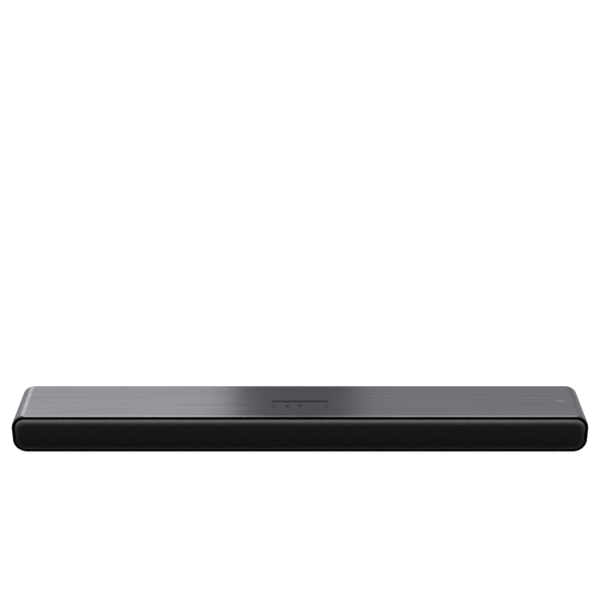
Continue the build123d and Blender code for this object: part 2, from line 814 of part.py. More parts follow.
# ---- connectors: in the bays, on an upright board --------------------------------------------------
jack_face_y = bay_face_y + jack_proud
with BuildPart() as hdmi_jack:
    with BuildSketch(facing(jack_face_y)):
        with Locations((hdmi_x, 0)):
            Rectangle(hdmi_length, hdmi_height)
    extrude(amount=jack_face_y - jack_board_y)
    with BuildSketch(facing(jack_face_y)):
        with Locations((hdmi_x, 0)):
            Rectangle(hdmi_length - 2 * hdmi_shell, hdmi_height - 2 * hdmi_shell)
    extrude(amount=shell_depth, mode=Mode.SUBTRACT)
    with BuildSketch(facing(jack_face_y - shell_depth)):
        with Locations((hdmi_x, 0)):
            Rectangle(hdmi_length - 2 * hdmi_shell - 2 * tongue_gap, tongue_wall)
    extrude(amount=-tongue_depth)
save(hdmi_jack.part, "hdmi_jack")

with BuildPart() as usb_jack:
    with BuildSketch(facing(jack_face_y)):
        with Locations((usb_x, 0)):
            Rectangle(usb_length, usb_height)
    extrude(amount=jack_face_y - jack_board_y)
    with BuildSketch(facing(jack_face_y)):
        with Locations((usb_x, 0)):
            Rectangle(usb_length - 2 * usb_shell, usb_height - 2 * usb_shell)
    extrude(amount=shell_depth, mode=Mode.SUBTRACT)
    with BuildSketch(facing(jack_face_y - shell_depth)):
        with Locations((usb_x, usb_tongue_rise)):
            Rectangle(usb_length - 2 * usb_shell - tongue_gap, tongue_wall)
    extrude(amount=-tongue_depth)
save(usb_jack.part, "usb_jack")

with BuildPart() as optical_jack:
    with BuildSketch(facing(jack_face_y)):
        with Locations((optical_x, 0)):
            Rectangle(optical_size, optical_size)
    extrude(amount=jack_face_y - jack_board_y)
    with BuildSketch(facing(jack_face_y)):
        with Locations((optical_x, 0)):
            Rectangle(optical_mouth, optical_mouth)
    extrude(amount=optical_mouth_depth, mode=Mode.SUBTRACT)
save(optical_jack.part, "optical_jack")

shutter_size = optical_mouth - 2 * shutter_play
with BuildPart() as optical_shutter:
    with BuildSketch(facing(jack_face_y - shutter_setback)):
        with Locations((optical_x, 0)):
            Rectangle(shutter_size, shutter_size)
    extrude(amount=shutter_wall)
    fillet(
        optical_shutter.edges().filter_by(Axis.X).group_by(Axis.Z)[-1], shutter_wall / 2 - joint_gap
    )
save(optical_shutter.part, "optical_shutter")

with BuildPart() as aux_jack:
    with BuildSketch(facing(bay_back_y)):
        with Locations((aux_x, 0)):
            Rectangle(aux_body, aux_body)
    extrude(amount=jack_depth)
    with BuildSketch(facing(jack_face_y)):
        with Locations((aux_x, 0)):
            Circle(aux_nose_radius)
    extrude(amount=jack_face_y - bay_back_y)
    with BuildSketch(facing(jack_face_y)):
        with Locations((aux_x, 0)):
            Circle(aux_bore_radius)
    extrude(amount=aux_bore_depth, mode=Mode.SUBTRACT)
save(aux_jack.part, "aux_jack")

with BuildPart() as jack_board:
    with BuildSketch(facing(jack_board_y)):
        with Locations((jack_board_x, 0)):
            Rectangle(jack_board_length, jack_board_height)
        with Locations(*jack_board_spots):
            Circle(shank_hole_radius, mode=Mode.SUBTRACT)
    extrude(amount=board_wall)
save(jack_board.part, "jack_board")

socket_floor_y = bay_face_y + inlet_face_wall - socket_depth
with BuildPart() as power_inlet:
    with BuildSketch(backing(bay_face_y)):
        with Locations((-inlet_x, 0)):
            RectangleRounded(inlet_face_length, inlet_face_height, inlet_corner)
    extrude(amount=inlet_face_wall)
    with BuildSketch(facing(bay_face_y)):
        with Locations((inlet_x, 0)):
            Rectangle(inlet_body_length, inlet_body_height)
    extrude(amount=inlet_depth)
    with BuildSketch(backing(socket_floor_y)):
        with Locations((-inlet_x, 0)):
            SlotOverall(socket_length, socket_height)
    extrude(amount=socket_depth, mode=Mode.SUBTRACT)
save(power_inlet.part, "power_inlet")

with BuildPart() as inlet_pins:
    with BuildSketch(backing(socket_floor_y)):
        with Locations((-inlet_x, 0)):
            with GridLocations(pin_spacing, 0, 2, 1):
                Circle(pin_radius)
    extrude(amount=pin_length)
    fillet(inlet_pins.faces().group_by(Axis.Y)[-1].edges(), pin_round)
save(inlet_pins.part, "inlet_pins")

# ---- keys: five equal caps in one slot, each on a rubber ring over its own switch ------------------
key_pitch = key_strip_length / len(key_names)
key_length = key_pitch - key_gap
key_width = key_strip_width - key_gap
key_top_z = cover_top_z + key_proud
flange_top_z = ceiling_z - joint_gap
flange_low_z = flange_top_z - key_flange_wall
switch_base_z = ceiling_z - key_frame_drop
switch_top_z = switch_base_z + switch_height
plunger_top_z = switch_top_z + plunger_height
stem_low_z = plunger_top_z + key_travel + joint_gap
key_xs = [key_pitch * (i - (len(key_names) - 1) / 2) for i in range(len(key_names))]
for name, x in zip(key_names, key_xs):
    with BuildPart() as key:
        with BuildSketch(Plane.XY.offset(flange_top_z)):
            with Locations((x, key_y)):
                RectangleRounded(key_length, key_width, key_corner - slip)
        extrude(amount=key_top_z - flange_top_z)
        fillet(key.faces().sort_by(Axis.Z)[-1].edges(), key_round)
        with BuildSketch(Plane.XY.offset(flange_low_z)):
            with Locations((x, key_y)):
                Rectangle(key_length, key_width + 2 * key_flange)
        extrude(amount=key_flange_wall)
        with BuildSketch(Plane.XY.offset(stem_low_z)):
            with Locations((x, key_y)):
                Circle(key_stem_radius)
        extrude(amount=flange_low_z - stem_low_z)
    save(key.part, f"key_{name}")

frame_bore_length = key_strip_length + 2 * key_frame_gap
frame_bore_width = key_width + 2 * key_flange + 2 * key_frame_gap
key_frame_length = frame_bore_length + 2 * key_frame_wall
key_frame_width = frame_bore_width + 2 * key_frame_wall
with BuildPart() as key_frame:
    with BuildSketch(Plane.XY.offset(switch_base_z)):
        with Locations((0, key_y)):
            Rectangle(key_frame_length, key_frame_width)
            Rectangle(frame_bore_length, frame_bore_width, mode=Mode.SUBTRACT)
    extrude(amount=key_frame_drop)
save(key_frame.part, "key_frame")

pad_ring_radius = key_stem_radius + pad_ring_play
with BuildPart() as key_pad:
    with BuildSketch(Plane.XY.offset(switch_top_z)):
        with Locations((0, key_y)):
            Rectangle(frame_bore_length - 2 * slip, frame_bore_width - 2 * slip)
        with Locations(*[(x, key_y) for x in key_xs]):
            Circle(pad_ring_radius, mode=Mode.SUBTRACT)
    extrude(amount=pad_sheet)
    with BuildSketch(Plane.XY.offset(switch_top_z + pad_sheet)):
        with Locations(*[(x, key_y) for x in key_xs]):
            Circle(pad_ring_radius + pad_ring_wall)
            Circle(pad_ring_radius, mode=Mode.SUBTRACT)
    extrude(amount=flange_low_z - switch_top_z - pad_sheet)
save(key_pad.part, "key_pad")

with BuildPart() as tact_switches:
    with BuildSketch(Plane.XY.offset(switch_base_z)):
        with Locations(*[(x, key_y) for x in key_xs]):
            Rectangle(switch_size, switch_size)
    extrude(amount=switch_height)
    with BuildSketch(Plane.XY.offset(switch_top_z)):
        with Locations(*[(x, key_y) for x in key_xs]):
            Circle(plunger_radius)
    extrude(amount=plunger_height)
save(tact_switches.part, "tact_switches")

with BuildPart() as key_board:
    with BuildSketch(Plane.XY.offset(switch_base_z)):
        with Locations((0, key_y)):
            Rectangle(key_frame_length, key_frame_width)
    extrude(amount=-board_wall)
save(key_board.part, "key_board")

# ---- display: a smoked window behind the mesh, on its own board ------------------------------------
display_board_y = baffle_rear_y + display_standoff
with BuildPart() as display_lens:
    with BuildSketch(facing(skirt_rear_y)):
        Rectangle(display_length, display_height)
    extrude(amount=skirt_rear_y - display_board_y)
save(display_lens.part, "display_lens")

display_board_spots = [
    (
        along * (display_board_length / 2 - standoff_inset),
        up * (display_board_height / 2 - standoff_inset),
    )
    for along in (-1, 1)
    for up in (-1, 1)
]
with BuildPart() as display_board:
    with BuildSketch(backing(display_board_y)):
        Rectangle(display_board_length, display_board_height)
        with Locations(*display_board_spots):
            Circle(shank_hole_radius, mode=Mode.SUBTRACT)
    extrude(amount=board_wall)
save(display_board.part, "display_board")

# ---- main board on the right, power board on the left ----------------------------------------------
for name, side in (("power_board", -1), ("main_board", 1)):
    with BuildPart() as board:
        with BuildSketch(Plane.XY.offset(board_low_z)):
            with Locations((side * board_x, board_middle_y)):
                Rectangle(board_length, board_depth)
            with Locations(*[spot for spot in standoff_spots if spot[0] * side > 0]):
                Circle(shank_hole_radius, mode=Mode.SUBTRACT)
        extrude(amount=board_wall)
    save(board.part, name)

sink_y = board_front_y + heat_sink_width / 2 + 2 * standoff_radius
chip_spots = [
    (board_x, sink_y),
    (board_x - chip_size, board_rear_y - chip_size / 2 - standoff_radius),
    (board_x + chip_size, board_rear_y - chip_size / 2 - standoff_radius),
]
with BuildPart() as board_chips:
    with BuildSketch(Plane.XY.offset(board_top_z)):
        with Locations(*chip_spots):
            Rectangle(chip_size, chip_size)
    extrude(amount=chip_height)
save(board_chips.part, "board_chips")

sink_low_z = board_top_z + chip_height
fin_pitch = (heat_sink_length - fin_wall) / (heat_sink_fins - 1)
with BuildPart() as heat_sink:
    with BuildSketch(Plane.XY.offset(sink_low_z)):
        with Locations((board_x, sink_y)):
            Rectangle(heat_sink_length, heat_sink_width)
    extrude(amount=heat_sink_base)
    with BuildSketch(Plane.XY.offset(sink_low_z + heat_sink_base)):
        with Locations((board_x, sink_y)):
            with GridLocations(fin_pitch, 0, heat_sink_fins, 1):
                Rectangle(fin_wall, heat_sink_width)
    extrude(amount=heat_sink_height - heat_sink_base)
    with BuildSketch(Plane.XY.offset(board_top_z)):
        with Locations((board_x, sink_y)):
            with GridLocations(heat_sink_length - fin_wall, 0, 2, 1):
                Rectangle(fin_wall, heat_sink_width)
    extrude(amount=chip_height)
save(heat_sink.part, "heat_sink")

core_x = -board_x + board_length / 4
with BuildPart() as transformer:
    with BuildSketch(Plane.XY.offset(board_top_z)):
        with Locations((core_x, board_middle_y)):
            Rectangle(core_length, core_width)
    extrude(amount=core_height)
    with BuildSketch(Plane.XY.offset(board_top_z + winding_margin)):
        with Locations((core_x, board_middle_y)):
            RectangleRounded(
                core_length - 2 * winding_margin, core_width + 4 * winding_margin, winding_margin
            )
    extrude(amount=core_height - 2 * winding_margin)
save(transformer.part, "transformer")

with BuildPart() as capacitors:
    with BuildSketch(Plane.XY.offset(board_top_z)):
        with Locations((-board_x - board_length / 4, board_middle_y)):
            with GridLocations(1, 2 * capacitor_radius + 2, 1, 3):
                Circle(capacitor_radius)
    extrude(amount=capacitor_height)
    fillet(capacitors.faces().group_by(Axis.Z)[-1].edges(), capacitor_round)
save(capacitors.part, "capacitors")

# ---- screws ----------------------------------------------------------------------------------------
lug_spots = [
    (x, up * (inner_height - lug_height) / 2) for x in lug_xs for up in (-1, 1)
]
case_rows = (
    (Plane.XY.offset(base_low_z), boss_spots),
    (facing(panel_face_y), lug_spots),
)
with BuildPart() as case_screws:
    for plane, spots in case_rows:
        with BuildSketch(plane):
            with Locations(*spots):
                Circle(screw_head_radius)
        extrude(amount=screw_head_height)
        with BuildSketch(plane.offset(screw_head_height)):
            with Locations(*spots):
                Circle(screw_radius)
        extrude(amount=screw_length)
save(case_screws.part, "case_screws")

baffle_rows = (
    (facing(skirt_rear_y), box_screw_spots),
    (facing(flange_front_y), driver_screw_spots),
)
with BuildPart() as baffle_screws:
    for plane, spots in baffle_rows:
        with BuildSketch(plane):
            with Locations(*spots):
                Circle(screw_head_radius)
        extrude(amount=screw_head_height)
        with BuildSketch(plane):
            with Locations(*spots):
                Circle(screw_radius)
        extrude(amount=-screw_length)
save(baffle_screws.part, "baffle_screws")

board_rows = (
    (Plane.XY.offset(board_top_z), standoff_spots),
    (facing(jack_board_y - board_wall), jack_board_spots),
    (backing(display_board_y + board_wall), display_board_spots),
)
with BuildPart() as board_screws:
    for plane, spots in board_rows:
        with BuildSketch(plane):
            with Locations(*spots):
                Circle(screw_head_radius)
        extrude(amount=screw_head_height)
        with BuildSketch(plane):
            with Locations(*spots):
                Circle(screw_radius)
        extrude(amount=-board_screw_length)
save(board_screws.part, "board_screws")

# ---- speaker wires: from under the main board, along the floor, into the boxes ---------------------
floor_run_z = floor_z + wire_radius
with BuildPart() as speaker_wires:
    for side in (-1, 1):
        start_x = board_x + side * chip_size
        wall_x = side * (box_inner_x - 2 * wire_bend)
        end_x = side * (woofer_x - magnet_radius - 4 * wire_bend)
        with BuildLine() as run:
            FilletPolyline(
                (start_x, wire_y, board_low_z),
                (start_x, wire_y, floor_run_z),
                (wall_x, wire_y, floor_run_z),
                (wall_x, wire_y, wire_z),
                (end_x, wire_y, wire_z),
                (end_x, wire_y, middle_z),
                radius=wire_corner,
            )
        with BuildSketch(Plane(origin=(start_x, wire_y, board_low_z), z_dir=(0, 0, -1))):
            Circle(wire_radius)
        sweep(path=run.line)
save(speaker_wires.part, "speaker_wires")
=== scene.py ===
"""Looks of a compact soundbar: brushed cover, gloss trim, mesh grille, key strip and rear jacks.

Everything is in metres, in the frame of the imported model: +X along the bar, -Y out of the grille
and +Z up.
"""

import json
import math

import bmesh
import bpy
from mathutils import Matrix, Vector


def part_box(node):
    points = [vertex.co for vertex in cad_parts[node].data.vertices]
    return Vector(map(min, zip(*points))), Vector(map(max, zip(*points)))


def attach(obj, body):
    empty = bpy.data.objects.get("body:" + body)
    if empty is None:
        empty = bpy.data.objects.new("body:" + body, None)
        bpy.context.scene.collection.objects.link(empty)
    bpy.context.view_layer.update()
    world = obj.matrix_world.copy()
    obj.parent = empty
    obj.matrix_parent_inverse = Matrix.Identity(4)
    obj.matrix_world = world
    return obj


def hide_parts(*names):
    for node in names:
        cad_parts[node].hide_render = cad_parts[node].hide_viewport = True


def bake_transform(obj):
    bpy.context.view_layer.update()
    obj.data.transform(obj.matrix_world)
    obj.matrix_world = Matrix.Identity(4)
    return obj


MM = 0.001
crease_angle = 32  # edges sharper than this, in degrees, stay crisp

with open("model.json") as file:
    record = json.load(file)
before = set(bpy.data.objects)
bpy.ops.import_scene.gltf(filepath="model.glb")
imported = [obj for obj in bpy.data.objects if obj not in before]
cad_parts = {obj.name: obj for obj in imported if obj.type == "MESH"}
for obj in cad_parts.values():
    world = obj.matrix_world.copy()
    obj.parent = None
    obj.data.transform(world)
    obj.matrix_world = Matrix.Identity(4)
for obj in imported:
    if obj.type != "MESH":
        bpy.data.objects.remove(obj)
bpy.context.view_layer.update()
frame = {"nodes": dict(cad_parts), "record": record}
nodes = frame["nodes"]

# ---- sizes shared with the model ----------------------------------------------------------------
corner_radius = 19.5 * MM
trim_width = 3.2 * MM
trim_lap = 0.6 * MM  # the trim laps this far over the grille's edge
trim_fuller = 0.9 * MM  # and comes out this much at the ends and below
trim_edge = 0.35 * MM
trim_lip = 0.2 * MM
ledge_depth = 0.7 * MM
skirt_wall = 3.8 * MM
slip = 0.15 * MM
joint_gap = 0.05 * MM
cover_wall = 1.8 * MM
front_chamfer = 1.5 * MM
rear_chamfer = 0.5 * MM
rim_round = 0.18 * MM
base_gap = 0.3 * MM
cut_clear = 10.0 * MM  # the underside's cutting tool stands out this far past the cover
grille_wall = 0.8 * MM
grille_crown = 11.0 * MM
mesh_pitch = 1.3 * MM
key_strip_length = 80.6 * MM
key_strip_width = 4.6 * MM

trim_low, trim_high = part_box("front_trim")
cover_low, cover_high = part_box("top_cover")
base_low, base_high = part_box("base_plate")

half_length = cover_high.x
half_height = (cover_high.z - cover_low.z) / 2
middle_z = (cover_high.z + cover_low.z) / 2
top_z = cover_high.z
cover_front_y = cover_low.y
rear_y = cover_high.y
trim_face_y = trim_low.y
trim_inset = cover_high.x - trim_high.x
skirt_rear_y = trim_high.y
ledge_y = trim_face_y + ledge_depth
grille_face_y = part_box("grille_mesh")[0].y


# ---- mesh building ------------------------------------------------------------------------------
def round_rect(half_w, half_h, radius, steps=28, cx=0.0, cz=0.0):
    """Points of a rounded rectangle in the XZ plane, anticlockwise seen from the front."""
    points = []
    corners = ((1, 1, 0), (-1, 1, 90), (-1, -1, 180), (1, -1, 270))
    for sx, sz, start in corners:
        for i in range(steps + 1):
            a = math.radians(start + 90 * i / steps)
            points.append(
                (
                    cx + sx * (half_w - radius) + radius * math.cos(a),
                    cz + sz * (half_h - radius) + radius * math.sin(a),
                )
            )
    return points


def ring_points(cx, cy, radius, steps):
    """Points (x, y) evenly spaced round a circle."""
    angles = [math.tau * i / steps for i in range(steps)]
    return [(cx + radius * math.cos(a), cy + radius * math.sin(a)) for a in angles]


def rectangle(x0, z0, x1, z1):
    """The corners of a rectangle, anticlockwise from its lower left."""
    return [(x0, z0), (x1, z0), (x1, z1), (x0, z1)]


def bar_loop(inset, y, steps=28, fuller=0.0):
    """The bar's end profile at depth y, taken in by inset, and fuller at both ends and below."""
    return [
        Vector((x, y, z))
        for x, z in round_rect(
            half_length - inset + fuller,
            half_height - inset + fuller / 2,
            corner_radius - inset + fuller,
            steps,
            0.0,
            middle_z - fuller / 2,
        )
    ]


def stitch(bm, rows):
    """Joins neighbouring rows of equal count with quads, each row closed on itself."""
    count = len(rows[0])
    for a, b in zip(rows, rows[1:]):
        for i in range(count):
            j = (i + 1) % count
            bm.faces.new((a[i], a[j], b[j], b[i]))


def loops_mesh(name, loops, closed=False, caps=False):
    """Joins loops of equal count: closed joins the last to the first, and caps fills both ends."""
    bm = bmesh.new()
    rings = [[bm.verts.new(p) for p in loop] for loop in loops]
    stitch(bm, rings + rings[:1] if closed else rings)
    if caps:
        bm.faces.new(rings[0])
        bm.faces.new(rings[-1])
    bmesh.ops.remove_doubles(bm, verts=bm.verts, dist=1e-7)
    bmesh.ops.recalc_face_normals(bm, faces=bm.faces)
    return from_bmesh(name, bm)


def from_bmesh(name, bm):
    """Turns a bmesh into a linked, smooth-shaded object."""
    mesh = bpy.data.meshes.new(name)
    bm.to_mesh(mesh)
    bm.free()
    piece = bpy.data.objects.new(name, mesh)
    bpy.context.scene.collection.objects.link(piece)
    smooth(piece)
    return piece


def smooth(piece):
    """Shades a piece smooth, with its creases kept sharp."""
    for polygon in piece.data.polygons:
        polygon.use_smooth = True
    piece.data.set_sharp_from_angle(angle=math.radians(crease_angle))


def apply_modifiers(piece):
    """Replaces a piece's mesh by the one its modifiers give."""
    graph = bpy.context.evaluated_depsgraph_get()
    mesh = bpy.data.meshes.new_from_object(piece.evaluated_get(graph))
    piece.modifiers.clear()
    old = piece.data
    piece.data = mesh
    bpy.data.meshes.remove(old)


def flatten_shading(piece):
    """Lets the large faces decide the shading, so that flats stay flat beside rounded edges."""
    modifier = piece.modifiers.new("weights", "WEIGHTED_NORMAL")
    modifier.mode = "FACE_AREA"
    modifier.weight = 100
    modifier.keep_sharp = True
    apply_modifiers(piece)


def extruded(name, outlines, axis, level, bevel, bevel_steps):
    """A solid between two outlines, its edge at level on the axis rounded by bevel."""
    bm = bmesh.new()
    near, far = [[bm.verts.new(p) for p in outline] for outline in outlines]
    bm.faces.new(near)
    bm.faces.new(far)
    stitch(bm, [near, far])
    bmesh.ops.remove_doubles(bm, verts=bm.verts, dist=1e-8)
    bmesh.ops.recalc_face_normals(bm, faces=bm.faces)
    if bevel:
        edges = [e for e in bm.edges if all(abs(v.co[axis] - level) < 1e-9 for v in e.verts)]
        bmesh.ops.bevel(
            bm, geom=edges, offset=bevel, segments=bevel_steps, profile=0.5, affect="EDGES"
        )
    return from_bmesh(name, bm)


def prism(name, outline, y0, y1, bevel=0.0, bevel_steps=3):
    """A solid with an XZ outline, from y0 to y1, its y1 edge rounded by bevel."""
    outlines = [[(x, y, z) for x, z in outline] for y in (y0, y1)]
    return extruded(name, outlines, 1, y1, bevel, bevel_steps)


def slab(name, outline, z0, z1, bevel=0.0, bevel_steps=3):
    """A solid with an XY outline, from z0 to z1, its z1 edge rounded by bevel."""
    outlines = [[(x, y, z) for x, y in outline] for z in (z0, z1)]
    return extruded(name, outlines, 2, z1, bevel, bevel_steps)


def boolean(piece, tool, operation):
    """Applies a boolean with tool to piece, and removes tool."""
    modifier = piece.modifiers.new("cut", "BOOLEAN")
    modifier.object = tool
    modifier.operation = operation
    modifier.solver = "EXACT"
    apply_modifiers(piece)
    bpy.data.objects.remove(tool)
    smooth(piece)


def join(name, pieces):
    """Joins several objects into one mesh object."""
    bm = bmesh.new()
    for piece in pieces:
        bm.from_mesh(piece.data)
        bpy.data.objects.remove(piece)
    return from_bmesh(name, bm)


# ---- materials ----------------------------------------------------------------------------------
class Shader:
    """A small helper for building one Principled material."""

    def __init__(self, name, color, rough, metal=0.0):
        self.material = bpy.data.materials.new(name)
        self.material.use_nodes = True
        self.tree = self.material.node_tree
        self.bsdf = self.tree.nodes["Principled BSDF"]
        self.set("Base Color", (*color, 1.0))
        self.set("Roughness", rough)
        self.set("Metallic", metal)
        self.set("IOR", 1.5)
        self.coords = self.tree.nodes.new("ShaderNodeTexCoord").outputs["Object"]

    def set(self, socket, value):
        """Sets one socket of the surface to a plain value."""
        self.bsdf.inputs[socket].default_value = value

    def link(self, a, b):
        self.tree.links.new(a, b)

    def scaled(self, scale):
        """The object's coordinates, stretched."""
        node = self.tree.nodes.new("ShaderNodeMapping")
        node.inputs["Scale"].default_value = scale
        self.link(self.coords, node.inputs["Vector"])
        return node.outputs["Vector"]

    def noise(self, scale, detail=3.0, stretch=(1, 1, 1), rough=0.5):
        """Noise in the object's own coordinates, with scale features to a metre."""
        node = self.tree.nodes.new("ShaderNodeTexNoise")
        node.inputs["Scale"].default_value = scale
        node.inputs["Detail"].default_value = detail
        node.inputs["Roughness"].default_value = rough
        self.link(self.scaled(stretch), node.inputs["Vector"])
        return node.outputs["Fac"]

    def math(self, operation, a, b=0.0):
        """One sum of sockets or numbers."""
        node = self.tree.nodes.new("ShaderNodeMath")
        node.operation = operation
        for socket, value in zip(node.inputs, (a, b)):
            if isinstance(value, (int, float)):
                socket.default_value = value
            else:
                self.link(value, socket)
        return node.outputs[0]

    def ramp(self, value, low, high, to_low, to_high):
        """Maps value from low..high to to_low..to_high, and no further."""
        node = self.tree.nodes.new("ShaderNodeMapRange")
        self.link(value, node.inputs["Value"])
        node.inputs["From Min"].default_value = low
        node.inputs["From Max"].default_value = high
        node.inputs["To Min"].default_value = to_low
        node.inputs["To Max"].default_value = to_high
        return node.outputs["Result"]

    def colors(self, value, stops):
        """The color that value picks between (place, color) stops."""
        node = self.tree.nodes.new("ShaderNodeValToRGB")
        self.link(value, node.inputs["Fac"])
        ramp = node.color_ramp
        while len(ramp.elements) < len(stops):
            ramp.elements.new(0.5)
        for element, (place, color) in zip(ramp.elements, stops):
            element.position = place
            element.color = (*color, 1.0)
        return node.outputs["Color"]

    def color(self, source):
        self.link(source, self.bsdf.inputs["Base Color"])

    def rough(self, source):
        self.link(source, self.bsdf.inputs["Roughness"])

    def bump(self, height, distance, strength=1.0):
        node = self.tree.nodes.new("ShaderNodeBump")
        node.inputs["Distance"].default_value = distance
        node.inputs["Strength"].default_value = strength
        self.link(height, node.inputs["Height"])
        self.link(node.outputs["Normal"], self.bsdf.inputs["Normal"])


def brushed_metal():
    """Dark anodised aluminium, brushed along the bar."""
    s = Shader("brushed_cover", (0.3, 0.3, 0.315), 0.18, 1.0)
    s.set("Anisotropic", 0.45)
    s.set("Specular Tint", (0.4, 0.4, 0.42, 1.0))
    tangent = s.tree.nodes.new("ShaderNodeTangent")
    tangent.direction_type = "RADIAL"
    tangent.axis = "X"
    s.link(tangent.outputs["Tangent"], s.bsdf.inputs["Tangent"])
    fine = s.noise(1.0, 4.0, (14, 1300, 1300), 0.62)
    broad = s.noise(1.0, 3.0, (4, 520, 520), 0.5)
    both = s.math("ADD", s.math("MULTIPLY", fine, 0.55), s.math("MULTIPLY", broad, 0.45))
    s.color(
        s.colors(
            both,
            (
                (0.32, (0.245, 0.249, 0.26)),
                (0.5, (0.295, 0.3, 0.312)),
                (0.68, (0.345, 0.35, 0.364)),
            ),
        )
    )
    s.rough(s.ramp(both, 0.3, 0.7, 0.175, 0.2))
    s.bump(fine, 0.01 * MM, 0.35)
    return s.material


def gloss_black():
    """Polished black plastic with the faintest ripple and hairline wear."""
    s = Shader("gloss_trim", (0.0003, 0.0003, 0.0004), 0.09)
    s.set("Specular IOR Level", 0.012)
    ripple = s.noise(55.0, 2.0)
    wear = s.noise(900.0, 2.0, (0.2, 1, 1))
    s.rough(s.ramp(wear, 0.35, 0.75, 0.06, 0.14))
    s.color(s.colors(ripple, ((0.3, (0.0002, 0.0002, 0.0003)), (0.7, (0.0004, 0.0004, 0.0005)))))
    s.bump(ripple, 0.02 * MM, 0.3)
    return s.material


def mesh_metal():
    """Painted steel sheet with staggered round holes, laid out on the sheet's own UV in metres; a
    painted highlight lightens the rounded top edge and painted light lightens the sheet towards the
    top.
    """
    s = Shader("grille_paint", (0.002, 0.002, 0.0022), 0.5)
    s.set("Specular IOR Level", 0.03)
    uv = s.tree.nodes.new("ShaderNodeUVMap")
    uv.uv_map = "sheet"
    split = s.tree.nodes.new("ShaderNodeSeparateXYZ")
    s.link(uv.outputs["UV"], split.inputs["Vector"])

    def cell(offset):
        """Distance in pitches to the nearest hole's centre, in one of two crossed grids."""
        u = s.math("ADD", s.math("DIVIDE", split.outputs["X"], mesh_pitch), offset)
        v = s.math("ADD", s.math("DIVIDE", split.outputs["Y"], mesh_pitch * math.sqrt(3)), offset)
        du = s.math("SUBTRACT", s.math("FRACT", u), 0.5)
        dv = s.math("MULTIPLY", s.math("SUBTRACT", s.math("FRACT", v), 0.5), math.sqrt(3))
        return s.math(
            "SQRT", s.math("ADD", s.math("MULTIPLY", du, du), s.math("MULTIPLY", dv, dv))
        )

    nearest = s.math("MINIMUM", cell(0.0), cell(0.5))
    place = s.tree.nodes.new("ShaderNodeSeparateXYZ")
    s.link(s.coords, place.inputs["Vector"])
    border_y = grille_face_y + 0.1 * MM
    border = s.ramp(place.outputs["Y"], border_y, border_y + 2.1 * MM, 0.0, 1.0)
    upper = s.ramp(place.outputs["Z"], middle_z, top_z - 5 * MM, 0.0, 1.0)
    # painted light: the sheet is made lighter towards the top, standing in for light falling from
    # above
    rise = s.ramp(place.outputs["Z"], middle_z - 20 * MM, top_z - 5 * MM, 0.2, 0.42)
    sheet = s.math("MAXIMUM", s.ramp(nearest, 0.33, 0.40, 0.0, 1.0), border)
    # painted highlight: the upper half of the rounded border is made lighter, standing in for light
    # falling from above
    painted_top_highlight = s.math("MULTIPLY", s.math("MULTIPLY", border, upper), 0.75)
    sheet_tone_with_painted_light = s.math("MULTIPLY", sheet, s.math("ADD", painted_top_highlight, rise))
    dust = s.noise(700.0, 2.0)
    s.color(
        s.colors(
            s.math("MULTIPLY", sheet_tone_with_painted_light, s.ramp(dust, 0.3, 0.7, 0.75, 1.0)),
            ((0.0, (0.0002, 0.0002, 0.0002)), (1.0, (0.054, 0.054, 0.056))),
        )
    )
    s.rough(s.ramp(sheet, 0.0, 1.0, 0.95, 0.45))
    s.bump(sheet, 0.25 * MM, 0.8)
    return s.material


def moulded(name, color, rough=0.55, grain=1500.0, depth=0.04 * MM, sheen=0.5):
    """Moulded plastic or rubber with a fine grain; sheen is how strongly it reflects."""
    s = Shader(name, color, rough)
    s.set("Specular IOR Level", sheen)
    fine = s.noise(grain, 3.0)
    broad = s.noise(60.0, 2.0)
    dark = tuple(c * 0.78 for c in color)
    light = tuple(min(1.0, c * 1.25) for c in color)
    both = s.math("ADD", s.math("MULTIPLY", fine, 0.6), s.math("MULTIPLY", broad, 0.4))
    s.color(s.colors(both, ((0.3, dark), (0.7, light))))
    s.rough(s.ramp(broad, 0.3, 0.7, rough - 0.06, rough + 0.08))
    s.bump(fine, depth, 0.7)
    return s.material


def plated(name, color, rough=0.28, stretch=(1, 1, 1)):
    """Plated or turned metal with slight drawing marks."""
    s = Shader(name, color, rough, 1.0)
    marks = s.noise(900.0, 3.0, stretch)
    dark = tuple(c * 0.8 for c in color)
    s.color(s.colors(marks, ((0.3, dark), (0.7, color))))
    s.rough(s.ramp(marks, 0.3, 0.7, rough - 0.07, rough + 0.12))
    s.bump(marks, 0.01 * MM, 0.5)
    return s.material


def circuit_board():
    """Green solder mask over faint traces."""
    s = Shader("board_green", (0.01, 0.09, 0.04), 0.35)
    traces = s.noise(420.0, 1.0, (1, 0.25, 1))
    s.color(s.colors(traces, ((0.47, (0.008, 0.07, 0.03)), (0.52, (0.02, 0.14, 0.06)))))
    s.bump(traces, 0.03 * MM, 0.5)
    return s.material


def woven(name, color, pitch=0.6 * MM):
    """Cloth or pressed paper with a fine crossed weave."""
    s = Shader(name, color, 0.85)
    s.set("Sheen Weight", 0.15)
    waves = []
    for axis in ("X", "Z"):
        node = s.tree.nodes.new("ShaderNodeTexWave")
        node.bands_direction = axis
        node.inputs["Scale"].default_value = 1.0 / pitch / math.tau
        node.inputs["Distortion"].default_value = 0.6
        s.link(s.coords, node.inputs["Vector"])
        waves.append(node.outputs["Fac"])
    weave = s.math("MULTIPLY", waves[0], waves[1])
    dark = tuple(c * 0.6 for c in color)
    s.color(s.colors(weave, ((0.0, dark), (0.8, color))))
    s.bump(weave, 0.08 * MM, 0.8)
    return s.material


